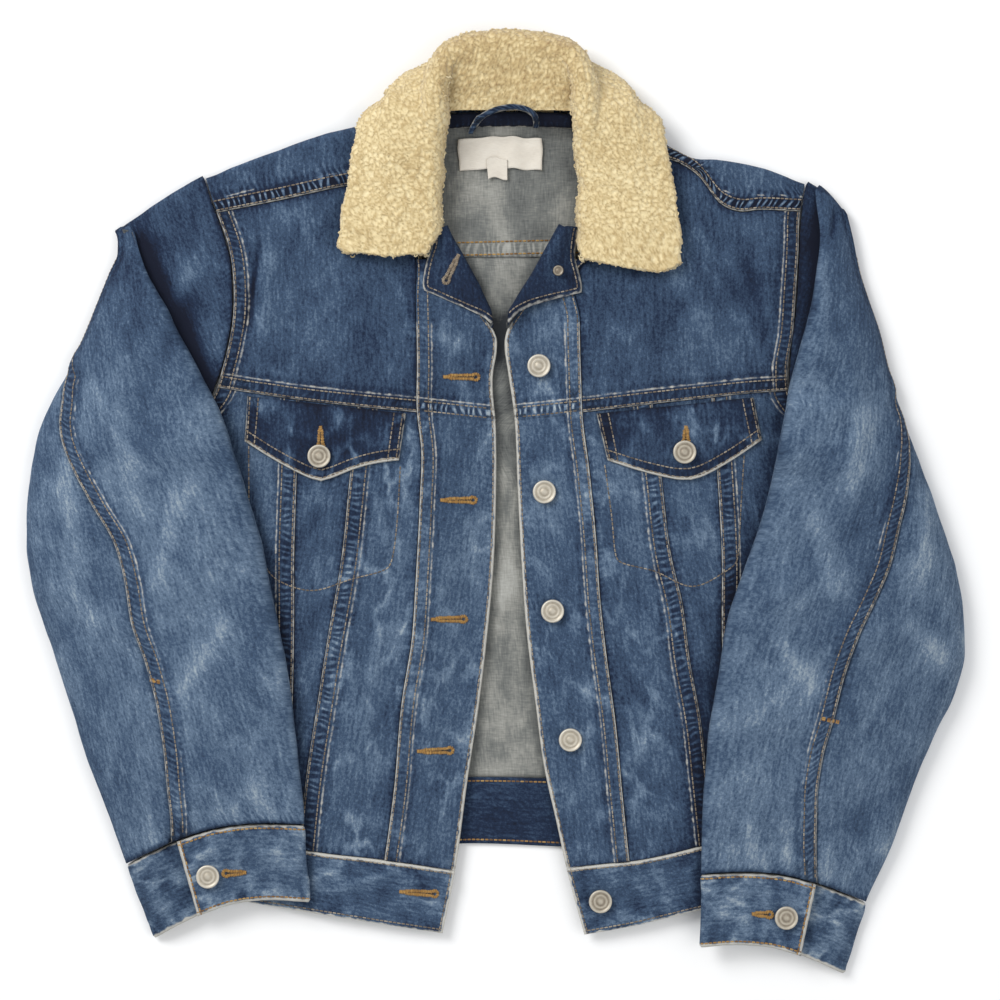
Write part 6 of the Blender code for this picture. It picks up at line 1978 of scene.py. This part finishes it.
    def make_curls(self, wardrobe: Wardrobe, count: int = 3400, steps: int = 6,
                   sides: int = 4) -> None:
        """Scatter loose curls on the pile: short tubes bent into open rings.

        A curl is a ring of radius r in a random plane near the surface, cut open for a third;
        the tube's radius is about a third of r. All are worked out as one array.
        """
        rng = np.random.default_rng(41)
        points, _ = self.fleece
        normal = normals_of(points)
        rows, columns = points.shape[:2]
        pick_r = rng.integers(2, rows - 2, count * 3)
        pick_c = rng.integers(2, columns - 2, count * 3)
        shown = normal[pick_r, pick_c, 2] > -0.35
        pick_r, pick_c = pick_r[shown][:count], pick_c[shown][:count]
        count = len(pick_r)
        at, up = points[pick_r, pick_c], normal[pick_r, pick_c]
        side = unit(np.cross(up, rng.normal(size=(count, 3))))
        tilt = rng.uniform(0.2, 1.2, count)[:, None]
        plane = np.cross(up, side) * np.cos(tilt) + up * np.sin(tilt)
        radius = rng.uniform(0.9, 1.7, count)
        around = np.linspace(0, 1.35 * math.pi, steps)
        spin = rng.uniform(0, 2 * math.pi, count)[:, None] + around
        middle = at + up * (radius * 0.35)[:, None]
        centre = middle[:, None] + radius[:, None, None] * (
            side[:, None] * np.cos(spin)[..., None] + plane[:, None] * np.sin(spin)[..., None])
        radial = unit(centre - middle[:, None])[:, :, None]
        axis = np.cross(side, plane)[:, None, None]
        ring = np.linspace(0, 2 * math.pi, sides + 1)[:-1, None]
        taper = np.array([0.45, *[1] * (steps - 2), 0.35])[:, None, None]
        thick = radius[:, None, None, None] * 0.36 * taper
        tube = centre[:, :, None] + thick * (radial * np.cos(ring) + axis * np.sin(ring))
        lift = np.maximum(PILE_FLOOR - tube[..., 2].min(axis=(1, 2)), 0)
        tube[..., 2] += lift[:, None, None]
        end = np.arange(sides)
        faces = np.concatenate([quads(steps, sides, True).reshape(-1, 4),
                                [end[::-1], end + sides * (steps - 1)]])
        tone = rng.uniform(0.45, 0.8, count)
        scatter("sherpa_curls", "sherpa", tube.reshape(count, -1, 3), faces, tone, wardrobe.fleece)


# ================================================================ sewing
class Thread(Enum):
    """Colours of sewing thread."""

    TAN = "tan"
    OCHRE = "ochre"


def rounded(line: Array, spacing: float) -> Array:
    """A plan line through its corners as a smooth curve with even spacing."""
    knots = along(line[:, None, :], 0)[:, 0]
    return keep_shape(knots, line, np.linspace(0, knots[-1], int(knots[-1] / spacing)))


class Landing:
    """Finds the finished upper face of some cloths under plan points."""

    def __init__(self, cloths: Sequence[Cloth], lift: float = 0.0) -> None:
        """Gather the cloths' faces.

        Args:
            cloths: the cloths.
            lift: height of the shown face over the grid, for a cloth seen from its inside.
        """
        points, faces, start = [], [], 0
        for cloth in cloths:
            points.append(cloth.points.reshape(-1, 3))
            faces.append(cloth.grid_faces().reshape(-1, 4) + start)
            start += len(points[-1])
        self.tree = BVHTree.FromPolygons(np.concatenate(points).tolist(),
                                         np.concatenate(faces).tolist())
        self.lift = lift

    def line(self, plan: Array) -> tuple[Array, Array]:
        """Points and normals under a plan line; points over no cloth are left out."""
        found = []
        for x, y in plan:
            hit, normal, _, _ = self.tree.ray_cast(Vector((x, y, 90.0)), Vector((0, 0, -1)))
            if hit is not None:
                normal = normal if normal.z > 0 else -normal
                found.append((*(hit + normal * self.lift), *normal))
        found = np.array(found).reshape(-1, 6)
        return found[:, :3], found[:, 3:]


@dataclass
class Sewing:
    """All topstitching: each stitch is a small rounded bar half sunk into the cloth."""

    pitch: float = 3.2
    length: float = 2.7
    width: float = 0.5
    height: float = 0.42
    proud: float = 0.10        # a stitch's middle over the cloth
    runs: dict[Thread, list[Array]] = field(default_factory=lambda: {t: [] for t in Thread})

    def run(self, line: Array, normal: Array, thread: Thread = Thread.TAN) -> None:
        """Lay stitches along a line.

        Args:
            line: points in mm.
            normal: unit normals at the points.
            thread: the thread's colour.
        """
        if len(line) < 3:
            return
        knots = along(line[:, None, :], 0)[:, 0]
        count = int(knots[-1] / self.pitch)
        if count < 2:
            return
        middle = (np.arange(count) + 0.5) * knots[-1] / count
        ends = [np.stack([np.interp(middle + off, knots, line[:, axis]) for axis in range(3)], -1)
                for off in (-self.length / 2, self.length / 2)]
        facing = np.stack([np.interp(middle, knots, normal[:, axis]) for axis in range(3)], -1)
        facing /= np.linalg.norm(facing, axis=1, keepdims=True)
        self.runs[thread].append(np.concatenate([*ends, facing], axis=1))

    def make(self, wardrobe: Wardrobe) -> None:
        """Build one piece of stitches for each thread: five-sided bars, narrow at both ends."""
        rng = np.random.default_rng(7)
        share, full = np.array([[0.0, 0.16, 0.84, 1.0], [0.35, 1.0, 1.0, 0.35]])[..., None, None]
        turn = (np.linspace(0, 2 * math.pi, 6)[:-1] + 0.3)[:, None]
        for thread, runs in self.runs.items():
            start, stop, up = np.split(np.concatenate(runs), 3, axis=1)
            run = stop - start
            side = unit(np.cross(run, up))
            up = unit(np.cross(side, run))[:, None, None]
            bulk, finish = (1.0, wardrobe.tan) if thread is Thread.TAN else (1.25, wardrobe.ochre)
            bar = start[:, None, None] + run[:, None, None] * share + full * (
                side[:, None, None] * (np.cos(turn) * self.width * bulk)
                + up * (np.sin(turn) * self.height)) + up * self.proud
            scatter(f"{thread.value}_topstitching", "denim", bar.reshape(len(run), -1, 3),
                    quads(4, 5, True).reshape(-1, 4), rng.uniform(0.15, 0.95, len(run)), finish)

    def bartack(self, landing: "Landing", start: Sequence[float], stop: Sequence[float]) -> None:
        """Sew close rows across the cloth, from one plan point to another."""
        start, run = np.array(start, float), np.subtract(stop, start).astype(float)
        side = np.array([-run[1], run[0]]) / np.hypot(*run)
        for off in (-0.9, -0.3, 0.3, 0.9):
            plan = start + run * np.linspace(0, 1, 12)[:, None] + side * off
            self.run(*landing.line(plan), Thread.OCHRE)


@dataclass
class Buttonhole:
    """A keyhole buttonhole: a satin-stitched cord round a slit with an eye at its end."""

    place: tuple[float, float, float, float]      # x, y of the eye's end, direction, length
    eye: float = 2.2
    cord: float = 1.0
    leg: float = 1.4           # from the slit to the middle of the cord

    def outline(self, length: float) -> Array:
        """The cord's line, ahead and aside: from the tip down a leg, round the eye and back."""
        turn = np.linspace(-2.3, 2.3, 14)
        eye = np.column_stack([self.eye - self.eye * np.cos(turn) * 1.1, self.eye * np.sin(turn)])
        leg = np.column_stack([np.linspace(eye[-1, 0] + 1.0, length * 0.74, 12),
                               np.linspace(self.leg, self.leg - 0.3, 12)])
        tip = np.array([[length * 0.86, 0.35], [length, 0.0]])
        return np.concatenate([tip[::-1] * [1, -1], leg[::-1] * [1, -1], eye, leg, tip])

    def make(self, name: str, landing: Landing, finish: bpy.types.Material) -> None:
        """Carry a ribbed round section along the slit's outline, laid on the cloth.

        Args:
            name: the piece's name.
            landing: the cloth that it is sewn into.
            finish: the thread's finish.
        """
        x, y, degrees, length = self.place
        turn = math.radians(degrees)
        ahead = np.array([math.cos(turn), math.sin(turn)])
        side = np.array([-ahead[1], ahead[0]])
        shape = self.outline(length)
        plan = np.array([x, y]) + shape[:, :1] * ahead + shape[:, 1:] * side
        line, normal = landing.line(rounded(plan, 0.45))
        if len(line) < 8:
            return
        over = np.cross(unit(np.gradient(line, axis=0)), normal)
        rng = np.random.default_rng(int(abs(x) * 7 + abs(y)))
        rib = self.cord * (1.0 + 0.25 * np.sin(np.arange(len(line)) * 2.6)
                           + 0.28 * rng.uniform(-1, 1, len(line)))
        angle = np.linspace(0, 2 * math.pi, 9)[:-1]
        tube = line[:, None] + rib[:, None, None] * (
            over[:, None] * np.cos(angle)[:, None] * 1.15
            + normal[:, None] * (np.sin(angle)[:, None] * 0.62)) + normal[:, None] * 0.25
        rows, count = tube.shape[:2]
        number = np.arange(rows)
        # lighter where the cord is thicker: painted light along its ribs, with a random thread tone
        # for each
        tone = np.repeat(0.5 + 0.3 * np.sin(number * 2.6) + rng.uniform(-.25, .25, rows), count)
        grain = np.stack(np.broadcast_arrays(number[:, None] * 0.45, angle), -1)
        # a thin near-black strip along the slit: painted shade in the cut
        plan = np.array([x, y]) + np.linspace(self.eye, length, 14)[:, None] * ahead
        slit, up = landing.line(plan)
        slit = slit + 0.35 * up
        wide = 0.55 * np.append(side, 0.0)
        strip = np.arange(len(slit) - 1) + rows * count
        strip = np.stack([strip, strip + 1, strip + 1 + len(slit), strip + len(slit)], axis=-1)
        points = np.concatenate([tube.reshape(-1, 3), slit - wide, slit + wide])
        tone = np.concatenate([tone, np.full(2 * len(slit), -0.2)])
        grain = np.concatenate([grain.reshape(-1, 2), points[rows * count:, :2]])
        faces = np.concatenate([quads(rows, count, True).reshape(-1, 4), strip])
        dress(new_piece(name, points, faces, {"tone": tone}, [finish], grain), "denim")


# ================================================================ metal and tape
@dataclass(frozen=True)
class Button:
    """A shank button: a raised rim, a dished face with a low boss, on a short shank."""

    profile: tuple = ((0.0, 4.35, 0.75), (1.2, 4.33, 0.7), (2.2, 4.15, 0.45), (2.9, 3.9, 0.35),
                      (3.6, 3.85, 0.5), (4.3, 4.05, 0.8), (4.9, 4.1, 0.7), (5.5, 3.85, 0.35),
                      (6.2, 3.9, 0.45), (6.9, 4.35, 0.8), (7.5, 4.6, 1.0), (8.1, 4.45, 1.0),
                      (8.45, 4.0, 0.85), (8.5, 3.4, 0.6), (8.2, 2.95, 0.4), (6.5, 2.7, 0.2),
                      (3.2, 2.4, 0.15), (2.8, 1.2, 0.15), (2.8, 0.0, 0.1), (0.0, 0.0, 0.1))
    shade: float = 0.0         # how much duller than the others

    def turned(self, around: int = 48) -> tuple[Array, list, Array]:
        """Turn the profile about Z, and close it with a point above and one below.

        Returns:
            Points, faces and tones.
        """
        radius, height, tone = np.array(self.profile)[1:-1].T
        angle = np.linspace(0, 2 * math.pi, around + 1)[:-1]
        side = unit(np.cross(UP, [0.0, 1.0, 0.1]))
        ring = side * np.cos(angle)[:, None] + np.cross(UP, side) * np.sin(angle)[:, None]
        rows = len(radius)
        points = (radius[:, None, None] * ring + height[:, None, None] * UP).reshape(-1, 3)
        sides = quads(rows, around, True)[..., [0, 3, 2, 1]].reshape(-1, 4)
        index = np.arange(rows * around).reshape(rows, around)
        ahead = np.roll(index, -1, axis=1)
        top = np.full(around, rows * around)
        caps = np.concatenate([np.stack([top, index[0], ahead[0]], axis=-1),
                               np.stack([top + 1, ahead[-1], index[-1]], axis=-1)])
        points = np.concatenate([points, [self.profile[0][1] * UP], [0 * UP]])
        tones = np.concatenate([np.repeat(tone, around), [self.profile[0][2], 0.1]])
        return points, sides.tolist() + caps.tolist(), tones

    def make(self, name: str, node: str, wardrobe: Wardrobe) -> None:
        """Build a button that stands for a CAD node, in its place and as high as it."""
        low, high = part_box(node)
        points, faces, tone = self.turned()
        rise = (high.z - low.z) / MM / max(row[1] for row in self.profile)
        points = np.array([*BUTTONS[node], low.z / MM]) + points * [1.0, 1.0, rise]
        piece = new_piece(name, points, faces, {"tone": tone - self.shade}, [wardrobe.nickel])
        dress(piece, "nickel", node)


DULL = 0.28                # how much duller some of the buttons are
STUD = ((0.0, 1.5, 0.3), (1.0, 1.5, 0.3), (1.5, 1.1, 0.0), (2.3, 1.15, 0.1), (2.9, 1.9, 0.55),
        (3.4, 1.9, 0.5), (3.8, 1.4, 0.2), (3.9, 0.5, 0.0), (3.9, 0.0, 0.0), (0.0, 0.0, 0.0))


@dataclass
class NeckTrim:
    """Neck tape, hanger loop, bare label and bare size tab inside the back neck."""

    strip: float = 4.5         # width of the hanger loop
    stand: float = 9.0         # how far its back stands up
    over_label: float = 1.2    # the size tab over the label

    def on_yoke(self, x: Array, y: Array, lift: float) -> Array:
        """Points that lie lift above the yoke's upper face inside the back.

        The yoke's own rows are straight between the shares of YOKE_RISE.
        """
        low = BACK_YOKE_SEAM + GAP / 2
        span = seam(BACK_NECK)(x) - GAP - low
        share = np.clip((y - low) / span, 0, 1)
        number = np.clip(np.searchsorted(YOKE_RISE, share) - 1, 0, len(YOKE_RISE) - 2)
        first, second = np.take(YOKE_RISE, number), np.take(YOKE_RISE, number + 1)
        part = (share - first) / (second - first)
        z = neck_lift(x, low + span * first) * (1 - part) \
            + neck_lift(x, low + span * second) * part
        return np.stack([x, y, z + DENIM + lift], axis=-1)

    def tape(self) -> Cloth:
        """The tape along the back neck seam."""
        low = BACK_YOKE_SEAM + GAP / 2
        x = np.linspace(-34, 56, 46)[None, :] + np.zeros((6, 1))
        span = seam(BACK_NECK)(x) - GAP - low
        y = low + span * np.linspace(0.89, 0.995, 6)[:, None]
        # tone below 0: the tape painted near black, for the shade under the collar's fall over its
        # navy
        return Cloth("neck_tape_cloth", self.on_yoke(x, y, TAPE + TAPE_LIE), TAPE,
                     {"south": Border.FOLD}, tone=-0.1, ruffle=0.15, folds=False, sideways=True,
                     fray=1.0)

    def loop(self) -> Cloth:
        """The hanger loop: half an oval strip whose back stands up over the neck."""
        turn = np.linspace(0, math.pi, 40)[None, :]
        width = np.linspace(0, self.strip, 5)[:, None]
        x = 6 + (26 - width) * -np.cos(turn) + 4 * np.sin(turn)
        y = 271 + (18 - width) * np.sin(turn) - 2 * np.cos(turn)
        points = self.on_yoke(x, y, TAPE + 2 * TAPE_LIE + LOOP)
        points[..., 2] += self.stand * step((y - 275) / 5)
        return Cloth("hanger_loop_cloth", points, LOOP,
                     {"south": Border.FOLD, "north": Border.FOLD}, fray=1.0, tone=0.28,
                     ruffle=0.1, folds=False, flip=True, sideways=True)

    def make_label(self, name: str, corners: Sequence[tuple[float, float]], lift: float,
                   wardrobe: Wardrobe) -> None:
        """Build a bare label, turned a little and waving along its edges.

        Args:
            name: the CAD node.
            corners: x, y of its left upper and right lower corner.
            lift: height of its face over the yoke.
            wardrobe: the finishes.
        """
        (x0, y0), (x1, y1) = corners
        x, y = np.meshgrid(np.linspace(x0, x1, 34), np.linspace(y1, y0, 16))
        turn = math.radians(2.0)
        x, y = x - (y - y0) * turn, y + (x - x0) * turn + 2.0
        part = (x - x0) / (x1 - x0)
        y = y + 1.3 * np.sin(4.2 * part) + 0.5 * waves(x, 0 * y, 14.0, 32)
        x = x + 1.2 * (part - 0.5) * waves(0 * x, y, 22.0, 37)
        points = self.on_yoke(x, y, lift)
        points[..., 2] += 0.7 * (1 + waves(x, y, 17.0, 31))
        cloth = Cloth(f"{name}_cloth", points, LABEL_WALL, {}, ruffle=0.0, folds=False)
        piece = cloth.build(wardrobe)
        piece.data.materials.clear()
        piece.data.materials.append(wardrobe.tape)
        piece.modifiers["wall"].material_offset = 0
        dress(piece, "label", name)

    def make(self, wardrobe: Wardrobe) -> None:
        """Build the four pieces."""
        lay_sheet(self.tape(), wardrobe, "denim_dark")
        lay_sheet(self.loop(), wardrobe, "denim_dark")
        self.make_label("neck_label", LABEL, LABEL_WALL + GAP, wardrobe)
        self.make_label("size_tab", SIZE_TAB, LABEL_WALL + GAP + self.over_label, wardrobe)


# ================================================================ studio
@dataclass
class Studio:
    """Pale floor, soft light and a camera straight above."""

    centre: tuple[float, float] = (0.00324, 0.00188)
    width: float = 0.730       # what the frame takes in, at the jacket's mean height
    mean_height: float = 0.014
    distance: float = 2.6
    floor_drop: float = 0.0006     # keeps the floor clear of the cloth that lies on it
    lights: tuple = (("key", (-1.5, 1.3, 2.0), 1.3, 52.0), ("fill", (1.6, -0.6, 2.2), 2.2, 18.0))

    def build(self) -> None:
        """Make the floor, the lights and the camera."""
        mesh = bpy.data.meshes.new("floor")
        mesh.from_pydata([(-4, -4, 0), (4, -4, 0), (4, 4, 0), (-4, 4, 0)], [], [(0, 1, 2, 3)])
        floor = placed("floor", mesh)
        floor.location.z = -self.floor_drop
        mesh.materials.append(Weave("white_floor").surface((0.92, 0.92, 0.92), Roughness=1.0))
        world = bpy.data.worlds.new("studio")
        world.use_nodes = True
        background = world.node_tree.nodes["Background"]
        background.inputs["Color"].default_value = (0.97, 0.985, 1.0, 1.0)
        background.inputs["Strength"].default_value = 0.62
        bpy.context.scene.world = world
        bpy.context.scene.view_settings.view_transform = "Standard"
        for name, place, size, power in self.lights:
            light = bpy.data.lights.new(name, "AREA")
            light.energy, light.size = power, size
            lamp = placed(name, light)
            lamp.location = place
            lamp.rotation_euler = (-Vector(place)).to_track_quat("-Z", "Y").to_euler()
        camera = bpy.data.cameras.new("camera")
        camera.sensor_width = 36.0
        camera.lens = 36.0 * (self.distance - self.mean_height) / self.width
        camera.clip_end = 50.0
        holder = placed("camera", camera)
        holder.location = (*self.centre, self.distance)
        bpy.context.scene.camera = holder


def sew_details(fronts: dict[Side, Front], sleeves: dict[Side, Sleeve], sewing: Sewing,
                wardrobe: Wardrobe) -> None:
    """Sew the buttonholes, and the bar tacks of the elbow seams."""
    right = fronts[R].cloths
    placket = Landing([right["front_placket"], right["hem_band_front"]])
    for number, place in enumerate([*FRONT_HOLES, HEM_HOLE], 1):
        Buttonhole(place).make(f"front_buttonhole_{number}", placket, wardrobe.ochre)
    Buttonhole(LAPEL_HOLE).make("lapel_buttonhole", Landing([right["lapel_facing"]]), wardrobe.tan)
    for side in Side:
        for name, hole, cloth in (("flap", FLAP_HOLE, fronts[side].cloths["pocket_flap"]),
                                  ("cuff", CUFF_HOLE, sleeves[side].cloths["cuff"])):
            Buttonhole(hole[side]).make(f"{name}_buttonhole_{side.value}", Landing([cloth]),
                                        wardrobe.ochre)
    for side, ends in BARTACK.items():
        cloths = sleeves[side].cloths
        sewing.bartack(Landing([cloths["sleeve_upper"], cloths["sleeve_under"]]), *ends)


def main() -> None:
    """Build the jacket's pieces in order."""
    logging.basicConfig(level=logging.INFO, format="%(name)s %(message)s")
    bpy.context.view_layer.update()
    wardrobe, sewing = Wardrobe.stocked(), Sewing()
    fronts, sleeves = ({side: kind(side) for side in Side} for kind in (Front, Sleeve))
    for part in (*fronts.values(), Back(), *sleeves.values()):
        part.cut()
        part.make(wardrobe)
        part.sew(sewing)
    collar = Collar()
    collar.cut()
    collar.make(wardrobe)
    NeckTrim().make(wardrobe)
    sew_details(fronts, sleeves, sewing, wardrobe)
    sewing.make(wardrobe)
    for node in BUTTONS:
        dull = node.startswith(("hem", "flap")) or node.endswith(("button_left", "stud"))
        button = Button(STUD if node.endswith("stud") else Button.profile, DULL * dull)
        button.make(f"{node}_metal", node, wardrobe)
    Studio().build()


if __name__ == "__main__":
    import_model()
    main()
